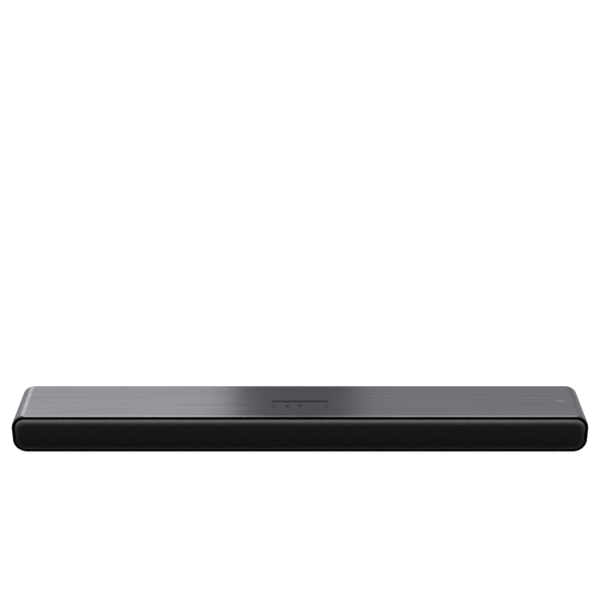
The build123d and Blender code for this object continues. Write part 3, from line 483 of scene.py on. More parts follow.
materials = {
    "brushed_cover": brushed_metal(),
    "gloss_trim": gloss_black(),
    "grille_paint": mesh_metal(),
    "base_plastic": moulded("base_plastic", (0.018, 0.018, 0.0195), 0.5),
    "key_plastic": moulded("key_plastic", (0.0016, 0.0016, 0.0018), 0.35, 2200.0, 0.01 * MM, 0.3),
    "foot_rubber": moulded("foot_rubber", (0.02, 0.02, 0.02), 0.8, 900.0, 0.08 * MM),
    "basket_steel": plated("basket_steel", (0.5, 0.5, 0.52)),
    "magnet_ferrite": moulded("magnet_ferrite", (0.05, 0.05, 0.055), 0.5, 700.0),
    "cone_paper": woven("cone_paper", (0.05, 0.05, 0.05)),
    "coil_copper": plated("coil_copper", (0.6, 0.27, 0.13), 0.3, (0.1, 6, 0.1)),
    "tweeter_plastic": moulded("tweeter_plastic", (0.025, 0.025, 0.026)),
    "dome_silk": woven("dome_silk", (0.06, 0.052, 0.045), 0.4 * MM),
    "jack_plastic": moulded("jack_plastic", (0.012, 0.012, 0.013), 0.45),
    "pin_brass": plated("pin_brass", (0.78, 0.72, 0.58), 0.22, (1, 0.1, 1)),
    "screw_steel": plated("screw_steel", (0.09, 0.09, 0.095), 0.35),
    "board_green": circuit_board(),
    "chip_black": moulded("chip_black", (0.013, 0.013, 0.014), 0.5),
    "sink_aluminium": plated("sink_aluminium", (0.6, 0.6, 0.63), 0.35, (1, 1, 0.05)),
    "core_steel": plated("core_steel", (0.26, 0.24, 0.2), 0.5, (0.1, 6, 0.1)),
    "can_aluminium": moulded("can_aluminium", (0.03, 0.045, 0.12), 0.3),
    "lens_smoke": moulded("lens_smoke", (0.006, 0.006, 0.007), 0.12, 300.0, 0.005 * MM),
    "wire_sheath": moulded("wire_sheath", (0.25, 0.015, 0.015), 0.5),
    "legend_ink": moulded("legend_ink", (0.0003, 0.0003, 0.0004), 0.6, 1500.0, 0.01 * MM, 0.06),
    "mark_plate": plated("mark_plate", (0.62, 0.62, 0.65), 0.35),
    "port_ink": moulded("port_ink", (0.5, 0.5, 0.5), 0.6),
    "tongue_plastic": moulded("tongue_plastic", (0.03, 0.03, 0.032), 0.4),
}
slots = {s["node"]: s["material_slot"] for s in frame["record"]["subparts"]}
for name, node in nodes.items():
    node.data.materials.clear()
    node.data.materials.append(materials[slots[name]])


def dress(piece, slot, body="housing", replaced=(), finish=None):
    """Gives a piece its finish and body, and hides the CAD nodes that it stands for."""
    flatten_shading(piece)
    piece.data.materials.clear()
    piece.data.materials.append(materials[finish or slot])
    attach(piece, body)
    if replaced:
        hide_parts(*replaced)
    return piece


# ---- cover --------------------------------------------------------------------------------------
profile = [
    (front_chamfer, cover_front_y),
    (0.0, cover_front_y + front_chamfer),
    (0.0, 0.0),
    (0.0, rear_y - rear_chamfer),
    (rear_chamfer * 0.35, rear_y - rear_chamfer * 0.3),
    (rear_chamfer, rear_y),
    (cover_wall - rim_round, rear_y),
    (cover_wall, rear_y - rim_round),
    (cover_wall, cover_front_y),
]
cover = loops_mesh("cover_skin", [bar_loop(inset, y, 40) for inset, y in profile], closed=True)
return_x = base_high.x + base_gap
return_z = base_low.z + cover_wall + base_gap
cut_low = prism(
    "cut_low",
    rectangle(-return_x, -cut_clear, return_x, return_z),
    cover_front_y - cut_clear,
    rear_y + cut_clear,
)
boolean(cover, cut_low, "DIFFERENCE")

key_names = ("power", "source", "wireless", "volume_down", "volume_up")
key_boxes = [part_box(f"key_{name}") for name in key_names]
key_y = (key_boxes[0][0].y + key_boxes[0][1].y) / 2
strip_half_length = key_strip_length / 2
strip_half_width = key_strip_width / 2
slot_cut = slab(
    "slot_cut",
    [(x, y + key_y) for x, y in round_rect(strip_half_length, strip_half_width, 0.5 * MM, 6)],
    top_z - 3 * MM,
    top_z + 3 * MM,
)
boolean(cover, slot_cut, "DIFFERENCE")
dress(cover, "brushed_cover", replaced=("top_cover",))

# ---- front trim ---------------------------------------------------------------------------------
skirt_inset = cover_wall + slip
bore_inset = skirt_inset + skirt_wall
seat_inset = trim_inset + trim_width + trim_lap
outer_inset = trim_inset + trim_edge * 1.01
profile = [(trim_inset, cover_front_y - joint_gap)]
profile += [
    (
        trim_inset + trim_edge - trim_edge * math.cos(math.radians(a)),
        trim_face_y + trim_edge - trim_edge * math.sin(math.radians(a)),
    )
    for a in range(0, 91, 15)
]
profile += [
    (
        seat_inset - trim_lip + trim_lip * math.sin(math.radians(a)),
        trim_face_y + trim_lip - trim_lip * math.cos(math.radians(a)),
    )
    for a in range(0, 91, 30)
]
profile += [
    (seat_inset, ledge_y),
    (bore_inset, ledge_y),
    (bore_inset, skirt_rear_y),
    (skirt_inset, skirt_rear_y),
    (skirt_inset, cover_front_y - joint_gap),
]
trim = loops_mesh(
    "trim_ring",
    [bar_loop(inset, y, 40, trim_fuller if inset < outer_inset else 0.0) for inset, y in profile],
    closed=True,
)
dress(trim, "gloss_trim", replaced=("front_trim",))

# ---- grille -------------------------------------------------------------------------------------
pan_inset = seat_inset + slip
pan_steps = 24
pan_power = 0.9  # below 1 the pan's section is fuller than a quarter of an ellipse


def pan_profile(wall):
    """The pan's section from its rear rim to its front, wall inside the outer face."""
    depth = ledge_y - grille_face_y - wall
    crown = grille_crown - wall
    points = []
    for i in range(pan_steps + 1):
        a = math.radians(90.0 * i / pan_steps)
        points.append(
            (
                pan_inset + wall + crown * (1 - math.cos(a) ** pan_power),
                grille_face_y + wall + depth * (1 - math.sin(a) ** pan_power),
            )
        )
    return points


def pan_side(bm, wall):
    """Adds one face of the pan and fills its front."""
    rows = [[bm.verts.new(p) for p in bar_loop(inset, y)] for inset, y in pan_profile(wall)]
    stitch(bm, rows)
    bm.faces.new(rows[-1])
    return rows[0]


bm = bmesh.new()
uv_layer = bm.loops.layers.uv.new("sheet")
rims = [pan_side(bm, wall) for wall in (0.0, grille_wall)]
stitch(bm, rims)
bmesh.ops.recalc_face_normals(bm, faces=bm.faces)
core_half_length = half_length - corner_radius
core_half_height = half_height - corner_radius
for face in bm.faces:
    for loop in face.loops:
        x, y, z = loop.vert.co
        core_x = max(-core_half_length, min(core_half_length, x))
        core_z = middle_z + max(-core_half_height, min(core_half_height, z - middle_z))
        away = Vector((x - core_x, z - core_z))
        out = away.normalized() if away.length > 1e-6 else Vector((0.0, 0.0))
        depth = y - grille_face_y
        loop[uv_layer].uv = (x + out.x * depth, z + out.y * depth)
grille = from_bmesh("grille_pan", bm)
dress(grille, "grille_paint", replaced=("grille_mesh",))

# ---- keys ---------------------------------------------------------------------------------------
cap_low_z = top_z - 1.85 * MM
shelf_low_z = cap_low_z - 1.0 * MM
stem_radius = 1.5 * MM
for name, (low, high) in zip(key_names, key_boxes):
    cx = (low.x + high.x) / 2
    half_l = (high.x - low.x) / 2
    cap = slab(
        f"cap_{name}",
        [(cx + x, key_y + y) for x, y in round_rect(half_l, strip_half_width - slip, 0.35 * MM, 6)],
        cap_low_z,
        high.z,
        bevel=0.22 * MM,
        bevel_steps=4,
    )
    shelf = slab(
        "shelf",
        [(cx + x, key_y + y) for x, y in round_rect(half_l, (high.y - low.y) / 2, 0.2 * MM, 3)],
        shelf_low_z,
        cap_low_z,
    )
    stem = slab("stem", ring_points(cx, key_y, stem_radius, 32), low.z, shelf_low_z)
    whole = join(f"cap_{name}", [cap, shelf, stem])
    dress(whole, "key_plastic", f"key_{name}", (f"key_{name}",))

# ---- legends and maker's plate on the cover -----------------------------------------------------
def ribbon(bm, path, width, z0, z1):
    """Adds a flat stroke along path, from z0 up to z1, its ends cut square."""
    rows = []
    for i, point in enumerate(path):
        ahead = Vector(path[min(i + 1, len(path) - 1)])
        behind = Vector(path[max(i - 1, 0)])
        along = (ahead - behind).normalized()
        side = Vector((-along.y, along.x)) * width / 2
        x, y = point
        rows.append(
            [
                bm.verts.new((x + side.x * s, y + side.y * s, z))
                for s, z in ((-1, z0), (1, z0), (1, z1), (-1, z1))
            ]
        )
    stitch(bm, rows)
    bm.faces.new(rows[0])
    bm.faces.new(rows[-1][::-1])


def sweep_points(cx, cy, radius, start, end, steps=24):
    """Points (x, y) on an arc, angles in degrees."""
    angles = [math.radians(start + (end - start) * i / steps) for i in range(steps + 1)]
    return [(cx + radius * math.cos(a), cy + radius * math.sin(a)) for a in angles]


def legend(name, strokes, finish="legend_ink", thick=0.02 * MM):
    """A printed sign on the cover's top, from (path, width) strokes."""
    bm = bmesh.new()
    for path, width in strokes:
        ribbon(bm, path, width, top_z - 0.01 * MM, top_z + thick)
    bmesh.ops.recalc_face_normals(bm, faces=bm.faces)
    return dress(from_bmesh(name, bm), "key_plastic", finish=finish)


line = 1.0 * MM
legend_spread = 1.18  # the legends stand this much wider apart than the keys
px, sx, wx, mx, ux = [(low.x + high.x) / 2 * legend_spread for low, high in key_boxes]
ly = cover_front_y + 27.0 * MM
legend(
    "legend_power",
    (
        (sweep_points(px, ly, 2.0 * MM, 118, 422), line),
        ([(px, ly + 0.5 * MM), (px, ly + 2.4 * MM)], line),
    ),
)
frame_w = 2.3 * MM
frame_h = 1.7 * MM
arrow = 0.9 * MM
legend(
    "legend_source",
    (
        ([(sx - 0.4 * MM, ly + frame_h), (sx + frame_w, ly + frame_h)], line),
        ([(sx + frame_w, ly + frame_h + line / 2), (sx + frame_w, ly - frame_h - line / 2)], line),
        ([(sx + frame_w, ly - frame_h), (sx - 0.4 * MM, ly - frame_h)], line),
        ([(sx - frame_w, ly), (sx + arrow, ly)], line),
        ([(sx, ly + arrow), (sx + 0.95 * MM, ly), (sx, ly - arrow)], line),
    ),
)
wave_y = ly - 1.3 * MM
waves = [(sweep_points(wx, wave_y, r * MM, 42, 138), 0.85 * MM) for r in (1.2, 2.5, 3.8)]
dot = (sweep_points(wx, wave_y, 0.25 * MM, 0, 360, 12), 0.5 * MM)
legend("legend_wireless", waves + [dot])
legend("legend_minus", (([(mx - 1.5 * MM, ly), (mx + 1.5 * MM, ly)], line),))
plus_half = 1.7 * MM
legend(
    "legend_plus",
    (
        ([(ux - plus_half, ly), (ux + plus_half, ly)], line),
        ([(ux, ly + line / 2), (ux, ly + plus_half)], line),
        ([(ux, ly - plus_half), (ux, ly - line / 2)], line),
    ),
)

mark_x = half_length - 34.0 * MM
mark_y = cover_front_y + 42.3 * MM
mark_pitch = 3.3 * MM
mark_heights = (1.8, 3.2, 4.5, 3.2, 1.8)
mark_bars = []
for i, h in enumerate(mark_heights):
    x = mark_x + (i - 2) * mark_pitch
    mark_bars.append(([(x, mark_y - h * MM / 2), (x, mark_y + h * MM / 2)], 1.5 * MM))
legend("maker_mark", mark_bars, "mark_plate", 0.08 * MM)


# ---- soft rings of the woofers ------------------------------------------------------------------
surround_width = 5.0 * MM
surround_lip = 0.6 * MM
surround_wall = 0.5 * MM
spider_wall = 0.4 * MM
spider_ridge = 0.8 * MM
spider_ridges = 3
spider_waved = 0.85  # the share of the spider's width that the ridges take up
wave_steps = 36
roll_steps = 16
arcs_round = 12
arc_steps = 6


def soft_piece(name, node, loops):
    """A stretch of a soft ring, given its CAD node's finish and baked in place; the node is hidden.
    """
    piece = loops_mesh(name, loops, caps=True)
    flatten_shading(piece)
    piece.data.materials.clear()
    piece.data.materials.append(materials[slots[node]])
    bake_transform(piece)
    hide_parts(node)


def soft_arcs(node, section, centre_of):
    """Swings a (radius, y) section round in stretches, each about the centre that centre_of gives
    for its middle direction.
    """
    step = math.tau / arcs_round
    for k in range(arcs_round):
        middle = (k + 0.5) * step
        cx = centre_of(middle)
        loops = []
        for i in range(arc_steps + 1):
            a = k * step + step * i / arc_steps
            loops.append(
                [Vector((cx + r * math.cos(a), y, middle_z + r * math.sin(a))) for r, y in section]
            )
        soft_piece(f"{node}_arc_{k}", node, loops)


for side in ("left", "right"):
    node = f"{side}_spider"
    low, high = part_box(node)
    coil_low, coil_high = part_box(f"{side}_voice_coil")
    outer_r = (high.x - low.x) / 2
    inner_r = (coil_high.x - coil_low.x) / 2
    hub_x = (low.x + high.x) / 2
    wave = []
    for i in range(wave_steps + 1):
        part = i / wave_steps
        turned_by = math.tau * spider_ridges * min(1.0, part / spider_waved)
        lift = spider_ridge / 2 * (1 - math.cos(turned_by))
        wave.append((inner_r + (outer_r - inner_r) * part, high.y - spider_wall - lift))
    section = wave + [(r, y + spider_wall) for r, y in reversed(wave)]
    soft_arcs(node, section, lambda a, x=hub_x: x)

    node = f"{side}_surround"
    low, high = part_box(node)
    seat_y = high.y
    rim_r = (high.z - low.z) / 2
    roll_r = rim_r - surround_lip - surround_width / 2
    straight = (high.x - low.x) / 2 - rim_r
    hub_x = (low.x + high.x) / 2
    big = surround_width / 2
    small = big - surround_wall
    tip = math.degrees(math.asin(surround_wall / big))
    section = [(rim_r, seat_y), (rim_r, seat_y - surround_wall)]
    section += [
        (roll_r + big * math.cos(math.radians(a)), seat_y - big * math.sin(math.radians(a)))
        for a in [tip + (180 - 2 * tip) * i / roll_steps for i in range(roll_steps + 1)]
    ]
    lip_r = roll_r - big - surround_lip
    section += [(lip_r, seat_y - surround_wall), (lip_r, seat_y)]
    section += [
        (roll_r - small * math.cos(math.radians(a)), seat_y - small * math.sin(math.radians(a)))
        for a in [180 * i / roll_steps for i in range(roll_steps + 1)]
    ]
    soft_arcs(
        node,
        section,
        lambda a, x=hub_x, half=straight: x + math.copysign(half, math.cos(a)),
    )
    for word, up in (("top", 1), ("low", -1)):
        loops = [
            [
                Vector((hub_x + straight * (i / arc_steps - 1), y, middle_z + up * r))
                for r, y in section
            ]
            for i in range(2 * arc_steps + 1)
        ]
        soft_piece(f"{node}_{word}", node, loops)


# ---- fasteners ----------------------------------------------------------------------------------
def islands(name):
    """The (low, high) corners of each separate solid of a CAD node."""
    bm = bmesh.new()
    bm.from_mesh(nodes[name].data)
    bmesh.ops.remove_doubles(bm, verts=bm.verts, dist=1e-6)
    left = set(bm.verts)
    boxes = []
    while left:
        group = [left.pop()]
        for vert in group:
            for edge_out in vert.link_edges:
                other = edge_out.other_vert(vert)
                if other in left:
                    left.remove(other)
                    group.append(other)
        low = Vector([min(v.co[i] for v in group) for i in range(3)])
        high = Vector([max(v.co[i] for v in group) for i in range(3)])
        boxes.append((low, high))
    bm.free()
    return sorted(boxes, key=lambda box: tuple(round(c, 5) for c in box[0]))


def turned(name, profile, steps=32):
    """A solid turned round Z from (radius, z) points that begin and end on the axis."""
    loops = [
        [Vector((x, y, z)) for x, y in ring_points(0.0, 0.0, max(radius, 1e-6), steps)]
        for radius, z in profile
    ]
    return loops_mesh(name, loops, caps=True)


def repeated(name, template, places):
    """Copies of template, each with its +Z turned to outward at its place, as one mesh."""
    bm = bmesh.new()
    for place, outward in places:
        turn = Vector((0, 0, 1)).rotation_difference(outward).to_matrix().to_4x4()
        turn.translation = place
        copy = template.data.copy()
        copy.transform(turn)
        bm.from_mesh(copy)
        bpy.data.meshes.remove(copy)
    bpy.data.objects.remove(template)
    return from_bmesh(name, bm)


head_radius = 2.1 * MM
head_height = 1.3 * MM
shank_radius = 1.2 * MM
shank_length = 6.0 * MM
thread_pitch = 0.8 * MM
screw_profile = [
    (0.0, 0.0),
    (1.3 * MM, 0.0),
    (1.78 * MM, -0.1 * MM),
    (2.02 * MM, -0.32 * MM),
    (head_radius, -0.6 * MM),
    (head_radius, -1.2 * MM),
    (head_radius - 0.1 * MM, -head_height),
    (shank_radius, -head_height),
]
turn_count = int((shank_length - 1.2 * MM) / thread_pitch)
for i in range(turn_count):
    z = -head_height - (i + 0.3) * thread_pitch
    screw_profile += [(shank_radius * 0.8, z), (shank_radius, z - thread_pitch * 0.5)]
screw_profile += [(shank_radius * 0.75, -head_height - shank_length + 0.8 * MM)]
screw_profile += [(0.0, -head_height - shank_length)]
screw = turned("screw", screw_profile)
cross_half_length = 1.15 * MM
cross_half_width = 0.26 * MM
cross_depth = 0.85 * MM
along = rectangle(-cross_half_length, -cross_half_width, cross_half_length, cross_half_width)
for outline in (along, [(y, x) for x, y in along]):
    boolean(screw, slab("arm", outline, -cross_depth, 0.3 * MM), "DIFFERENCE")
places = []
for low, high in islands("case_screws"):
    middle = (low + high) / 2
    size = high - low
    if size.z > size.y:
        places.append((Vector((middle.x, middle.y, low.z)), Vector((0, 0, -1))))
    else:
        places.append((Vector((middle.x, high.y, middle.z)), Vector((0, 1, 0))))
case_screws = repeated("case_screw_set", screw, places)
dress(case_screws, "screw_steel", replaced=("case_screws",))

# ---- feet: ribbed underneath --------------------------------------------------------------------
feet = []
foot_corner = 3.0 * MM
rib_rise = 0.35 * MM
rib_count = 4
for low, high in islands("rubber_feet"):
    centre = (low + high) / 2
    half_l = (high.x - low.x) / 2
    half_w = (high.y - low.y) / 2
    loops = [
        [
            Vector((centre.x + x, centre.y + y, z))
            for x, y in round_rect(half_l - inset, half_w - inset, foot_corner - inset, 8)
        ]
        for inset, z in (
            (0.0, high.z),
            (0.0, low.z + 0.95 * MM),
            (0.25 * MM, low.z + 0.6 * MM),
            (0.6 * MM, low.z + rib_rise),
        )
    ]
    feet.append(loops_mesh("foot", loops, caps=True))
    rib = round_rect(half_l - foot_corner, 0.5 * MM, 0.45 * MM, 4)
    for i in range(rib_count):
        y = centre.y + (i - (rib_count - 1) / 2) * half_w * 0.44
        outline = [(centre.x + rx, y + ry) for rx, ry in rib]
        feet.append(
            slab("rib", outline, low.z + 0.5 * MM, low.z, bevel=0.12 * MM, bevel_steps=2)
        )
dress(join("foot_set", feet), "foot_rubber", replaced=("rubber_feet",))


# ---- jacks --------------------------------------------------------------------------------------
jack_depth = 10.5 * MM
tongue_length = 9.0 * MM
tongue_half_height = 0.65 * MM
pin_offset = 0.66 * MM  # from the tongue's middle to the middle of its contacts
pin_half_height = 0.06 * MM
sound_steps = 48


def part_way(start, end, share):
    """Points a share of the way from each point of one outline to its partner in the other."""
    return [(x + (tx - x) * share, z + (tz - z) * share) for (x, z), (tx, tz) in zip(start, end)]


def socket(name, outer, inner, back_y, face_y, deep_y):
    """A block with an opening in its face: outer and inner are equal counts of (x, z) points."""
    rim = 0.15 * MM
    loops = [
        [Vector((x, y, z)) for x, z in outline]
        for outline, y in (
            (outer, back_y),
            (outer, face_y - rim),
            (part_way(outer, inner, 0.12), face_y),
            (part_way(inner, outer, 0.12), face_y),
            (inner, face_y - rim),
            (inner, deep_y),
        )
    ]
    return loops_mesh(name, loops, caps=True)


def cut_corners(cx, half_w, half_h, top, low):
    """A rectangle in XZ about (cx, middle_z), its corners cut by top above and by low below."""
    z0 = middle_z - half_h
    z1 = middle_z + half_h
    return [
        (cx + half_w, z1 - top),
        (cx + half_w - top, z1),
        (cx - half_w + top, z1),
        (cx - half_w, z1 - top),
        (cx - half_w, z0 + low),
        (cx - half_w + low, z0),
        (cx + half_w - low, z0),
        (cx + half_w, z0 + low),
    ]


def contacts(name, cx, z, half_span, count, width, y0, y1):
    """A row of flat contact springs on a jack's tongue, from depth y0 to y1."""
    strips = []
    for i in range(count):
        x = cx - half_span + 2 * half_span * i / (count - 1)
        outline = rectangle(
            x - width / 2, z - pin_half_height, x + width / 2, z + pin_half_height
        )
        strips.append(prism("strip", outline, y0, y1, bevel=0.03 * MM, bevel_steps=2))
    return dress(join(name, strips), "pin_brass")


def middle_and_halves(low, high):
    """A jack's middle in X, and half its width and height."""
    return (low.x + high.x) / 2, (high.x - low.x) / 2, (high.z - low.z) / 2


low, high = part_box("hdmi_jack")
cx, half_w, half_h = middle_and_halves(low, high)
deep_y = high.y - jack_depth
shell = socket(
    "video_jack_shell",
    cut_corners(cx, half_w, half_h, 0.3 * MM, 1.3 * MM),
    cut_corners(cx, half_w - 0.6 * MM, half_h - 0.6 * MM, 0.25 * MM, 1.5 * MM),
    low.y,
    high.y,
    deep_y,
)
dress(shell, "basket_steel", replaced=("hdmi_jack",))
tongue = prism(
    "video_jack_tongue",
    round_rect(half_w - 2.1 * MM, tongue_half_height, 0.2 * MM, 3, cx, middle_z),
    deep_y,
    deep_y + tongue_length,
    bevel=0.2 * MM,
)
dress(tongue, "jack_plastic", finish="tongue_plastic")
pins_y = deep_y + 8.4 * MM
upper_z = middle_z + pin_offset
lower_z = middle_z - pin_offset
contacts("video_jack_pins", cx, upper_z, 4.5 * MM, 10, 0.45 * MM, deep_y, pins_y)
contacts("video_jack_pins_low", cx, lower_z, 4.0 * MM, 9, 0.45 * MM, deep_y, pins_y)

low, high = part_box("usb_jack")
cx, half_w, half_h = middle_and_halves(low, high)
deep_y = high.y - jack_depth
shell = socket(
    "data_jack_shell",
    round_rect(half_w, half_h, 0.7 * MM, 6, cx, middle_z),
    round_rect(half_w - 0.8 * MM, half_h - 0.8 * MM, 0.35 * MM, 6, cx, middle_z),
    low.y,
    high.y,
    deep_y,
)
dress(shell, "basket_steel", replaced=("usb_jack",))
tongue_z = middle_z + 0.9 * MM
tongue = prism(
    "data_jack_tongue",
    round_rect(half_w - 1.55 * MM, tongue_half_height, 0.2 * MM, 3, cx, tongue_z),
    deep_y,
    deep_y + tongue_length,
    bevel=0.25 * MM,
)
dress(tongue, "jack_plastic", finish="tongue_plastic")
pins_y = deep_y + 8.2 * MM
contacts("data_jack_pins", cx, tongue_z - pin_offset, 3.5 * MM, 4, 1.0 * MM, deep_y, pins_y)

low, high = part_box("optical_jack")
cx, half_w, half_h = middle_and_halves(low, high)
mouth_half = 4.3 * MM
block = socket(
    "optical_jack_block",
    cut_corners(cx, half_w, half_w, 0.4 * MM, 0.4 * MM),
    cut_corners(cx, mouth_half, mouth_half, 0.05 * MM, 0.05 * MM),
    low.y,
    high.y,
    high.y - jack_depth,
)
dress(block, "jack_plastic", replaced=("optical_jack",))

low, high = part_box("optical_shutter")
cx, half_w, half_h = middle_and_halves(low, high)
flap = prism(
    "optical_flap",
    round_rect(half_w, half_h, 0.3 * MM, 4, cx, (low.z + high.z) / 2),
    low.y,
    high.y,
    bevel=0.18 * MM,
)
dress(flap, "jack_plastic", "optical_shutter", ("optical_shutter",), "tongue_plastic")

low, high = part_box("aux_jack")
cx, half_w, half_h = middle_and_halves(low, high)
mouth = [(Vector((cx, high.y, middle_z)), Vector((0, 1, 0)))]
nose_radius = 4.0 * MM
bore_radius = 1.78 * MM
bore_depth = 12.5 * MM
nose_profile = [
    (0.0, -bore_depth),
    (bore_radius, -bore_depth),
    (bore_radius, -0.45 * MM),
    (bore_radius + 0.4 * MM, 0.0),
    (nose_radius - 0.35 * MM, 0.0),
    (nose_radius - 0.1 * MM, -0.12 * MM),
    (nose_radius, -0.35 * MM),
    (nose_radius, low.y - high.y),
    (0.0, low.y - high.y),
]
nose = repeated("sound_jack_nose", turned("nose", nose_profile, sound_steps), mouth)
body = prism(
    "body",
    round_rect(half_w, half_h, 0.5 * MM, 4, cx, middle_z),
    low.y,
    high.y - 2.6 * MM,
)
dress(nose, "jack_plastic", replaced=("aux_jack",))
plug_radius = nose_radius - 0.1 * MM
plug_low = -50.0 * MM
plug_high = 10.0 * MM
plug_profile = [(0.0, plug_low), (plug_radius, plug_low), (plug_radius, plug_high), (0.0, plug_high)]
plug = repeated("plug", turned("plug", plug_profile, sound_steps), mouth)
boolean(body, plug, "DIFFERENCE")
body.name = "sound_jack_body"
dress(body, "jack_plastic")
ring_profile = [
    (bore_radius + 0.42 * MM, 0.0),
    (bore_radius + 0.42 * MM, 0.12 * MM),
    (bore_radius + 0.62 * MM, 0.16 * MM),
    (bore_radius + 1.25 * MM, 0.16 * MM),
    (bore_radius + 1.45 * MM, 0.1 * MM),
    (bore_radius + 1.45 * MM, 0.0),
]
ring_loops = [
    [Vector((x, y, z)) for x, y in ring_points(0.0, 0.0, r, sound_steps)] for r, z in ring_profile
]
ring = repeated("sound_jack_ring", loops_mesh("ring", ring_loops, closed=True), mouth)
dress(ring, "basket_steel")


def figure_eight(cx, centre, radius, waist):
    """A two-lobed socket outline in XZ: lobes of radius about +-centre, joined by a waist."""
    steps = 96
    points = []
    for i in range(steps):
        a = math.tau * i / steps
        lobe = centre * abs(math.cos(a)) + math.sqrt(radius**2 - (centre * math.sin(a)) ** 2)
        band = min(waist / max(abs(math.sin(a)), 1e-6), centre / max(abs(math.cos(a)), 1e-6))
        r = max(lobe, band)
        points.append((cx + r * math.cos(a), middle_z + r * math.sin(a)))
    return points


low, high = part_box("power_inlet")
cx, half_w, half_h = middle_and_halves(low, high)
face_wall = 2.0 * MM
flange = prism(
    "inlet_flange",
    round_rect(half_w, half_h, 2.0 * MM, 10, cx, middle_z),
    high.y - face_wall,
    high.y,
    bevel=0.5 * MM,
    bevel_steps=4,
)
inlet_body = prism(
    "inlet_body",
    round_rect(half_w - 3.0 * MM, half_h - 2.0 * MM, 1.0 * MM, 6, cx, middle_z),
    low.y,
    high.y - face_wall + 0.01 * MM,
)
boolean(flange, inlet_body, "UNION")
opening = figure_eight(cx, 3.8 * MM, 4.2 * MM, 3.1 * MM)
socket_tool = prism("socket_tool", opening, high.y - 11.5 * MM, high.y + 1 * MM)
boolean(flange, socket_tool, "DIFFERENCE")
dress(flange, "jack_plastic", replaced=("power_inlet",))

# ---- port markers: one to four dots above the jacks ---------------------------------------------
bay_face_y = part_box("aux_jack")[1].y - 0.5 * MM
dot_radius = 0.6 * MM
dot_pitch = 2.2 * MM
dots_z = middle_z + 10.5 * MM
dot_y0 = bay_face_y - 0.02 * MM
dot_y1 = bay_face_y + 0.04 * MM
dots = []
for count, node in enumerate(("aux_jack", "optical_jack", "usb_jack", "hdmi_jack"), 1):
    low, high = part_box(node)
    for i in range(count):
        x = (low.x + high.x) / 2 + (i - (count - 1) / 2) * dot_pitch
        outline = ring_points(x, dots_z, dot_radius, 24)
        dots.append(prism("dot", outline, dot_y0, dot_y1, bevel=0.02 * MM))
dress(join("port_dots", dots), "jack_plastic", finish="port_ink")


# ---- floor, lights and camera -------------------------------------------------------------------
floor_half_size = 30.0
floor_tones = ((0.3, (0.045, 0.045, 0.045)), (0.7, (0.055, 0.055, 0.055)))
floor_bm = bmesh.new()
bmesh.ops.create_grid(floor_bm, x_segments=24, y_segments=24, size=floor_half_size)
floor = from_bmesh("floor", floor_bm)
floor_shader = Shader("floor", (0.1, 0.1, 0.1), 0.85)
floor_shader.set("Specular IOR Level", 0.1)
floor_shader.set("Emission Color", (1.0, 1.0, 1.0, 1.0))
floor_shader.set("Emission Strength", 0.96)
cloud = floor_shader.noise(1.6, 3.0)
floor_shader.color(floor_shader.colors(cloud, floor_tones))
floor.data.materials.append(floor_shader.material)


def area_light(name, place, target, width, height, power):
    """A soft box that faces target."""
    data = bpy.data.lights.new(name, "AREA")
    data.shape = "RECTANGLE"
    data.size = width
    data.size_y = height
    data.energy = power
    lamp = bpy.data.objects.new(name, data)
    bpy.context.scene.collection.objects.link(lamp)
    lamp.location = place
    lamp.rotation_euler = (Vector(target) - Vector(place)).to_track_quat("-Z", "Y").to_euler()


def sun_light(name, direction, spread, power):
    """A distant soft source, seen under an angle of spread degrees, shining from direction."""
    data = bpy.data.lights.new(name, "SUN")
    data.angle = math.radians(spread)
    data.energy = power
    lamp = bpy.data.objects.new(name, data)
    bpy.context.scene.collection.objects.link(lamp)
    lamp.rotation_euler = (-Vector(direction)).to_track_quat("-Z", "Y").to_euler()
    return lamp


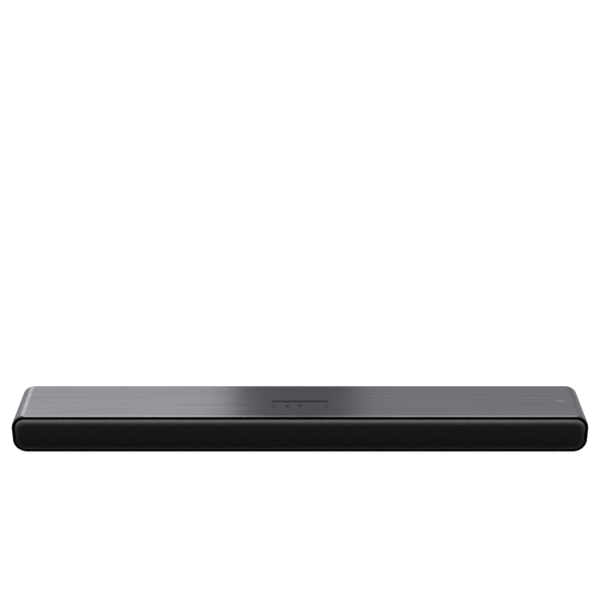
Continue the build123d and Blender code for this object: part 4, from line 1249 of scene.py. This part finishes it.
sun_light("overhead", (0.0, 0.09, 1.0), 30, 7.5).visible_glossy = False
area_light("overhead_box", (0.0, 0.0, 2.4), (0.0, 0.0, 0.0), 3.0, 1.5, 11.0)
sun_light("side_left", (-0.85, 0.5, 0.45), 40, 0.8)
sun_light("side_right", (0.85, 0.5, 0.45), 40, 0.6)
back_boxes = (
    ("back_left", -0.6, 1.35, 0.77, 2.0, 4.3),
    ("back_left_edge", -1.24, 0.95, 0.5, 1.8, 5.2),
    ("far_left", -2.0, 0.75, 1.0, 1.5, 3.2),
    ("back_right", 0.77, 1.35, 1.18, 2.0, 2.85),
    ("far_right", 1.99, 0.75, 1.25, 1.5, 2.1),
)
for name, x, z, width, height, power in back_boxes:
    area_light(name, (x, 2.0, z), (x, 0.0, z), width, height, power)
front_boxes = (("front_left", -0.6, 0.85, 2.2), ("front_right", 0.62, 0.95, 1.5))
for name, x, width, power in front_boxes:
    area_light(name, (x, -0.87, 1.8), (x, 0.0, 0.0), width, 0.5, power)


def studio_world(back, front):
    """A soft surround of strength back behind and above the bar, rising to front before it."""
    world = bpy.data.worlds.new("studio")
    bpy.context.scene.world = world
    world.use_nodes = True
    tree = world.node_tree
    sky = tree.nodes["Background"]
    sky.inputs["Color"].default_value = (0.95, 0.97, 1.0, 1.0)
    split = tree.nodes.new("ShaderNodeSeparateXYZ")
    coords = tree.nodes.new("ShaderNodeTexCoord")
    tree.links.new(coords.outputs["Generated"], split.inputs["Vector"])
    rise = tree.nodes.new("ShaderNodeMapRange")
    rise.interpolation_type = "SMOOTHSTEP"
    tree.links.new(split.outputs["Y"], rise.inputs["Value"])
    rise.inputs["From Min"].default_value = -0.3
    rise.inputs["From Max"].default_value = -0.85
    rise.inputs["To Min"].default_value = back
    rise.inputs["To Max"].default_value = front
    tree.links.new(rise.outputs["Result"], sky.inputs["Strength"])


studio_world(0.28, 0.6)
bpy.context.scene.view_settings.view_transform = "Standard"

camera_back = 1.56995  # metres in front of the cover's front edge
camera_up = 0.9894  # metres above its underside
camera_dip = 25.58  # degrees below level
camera_data = bpy.data.cameras.new("camera")
camera_data.lens = 78.09
camera_data.sensor_width = 36.0
camera_data.clip_end = 60.0
camera = bpy.data.objects.new("camera", camera_data)
bpy.context.scene.collection.objects.link(camera)
camera.location = (0.0, cover_front_y - camera_back, cover_low.z + camera_up)
camera.rotation_euler = (math.radians(90 - camera_dip), 0.0, 0.0)
bpy.context.scene.camera = camera
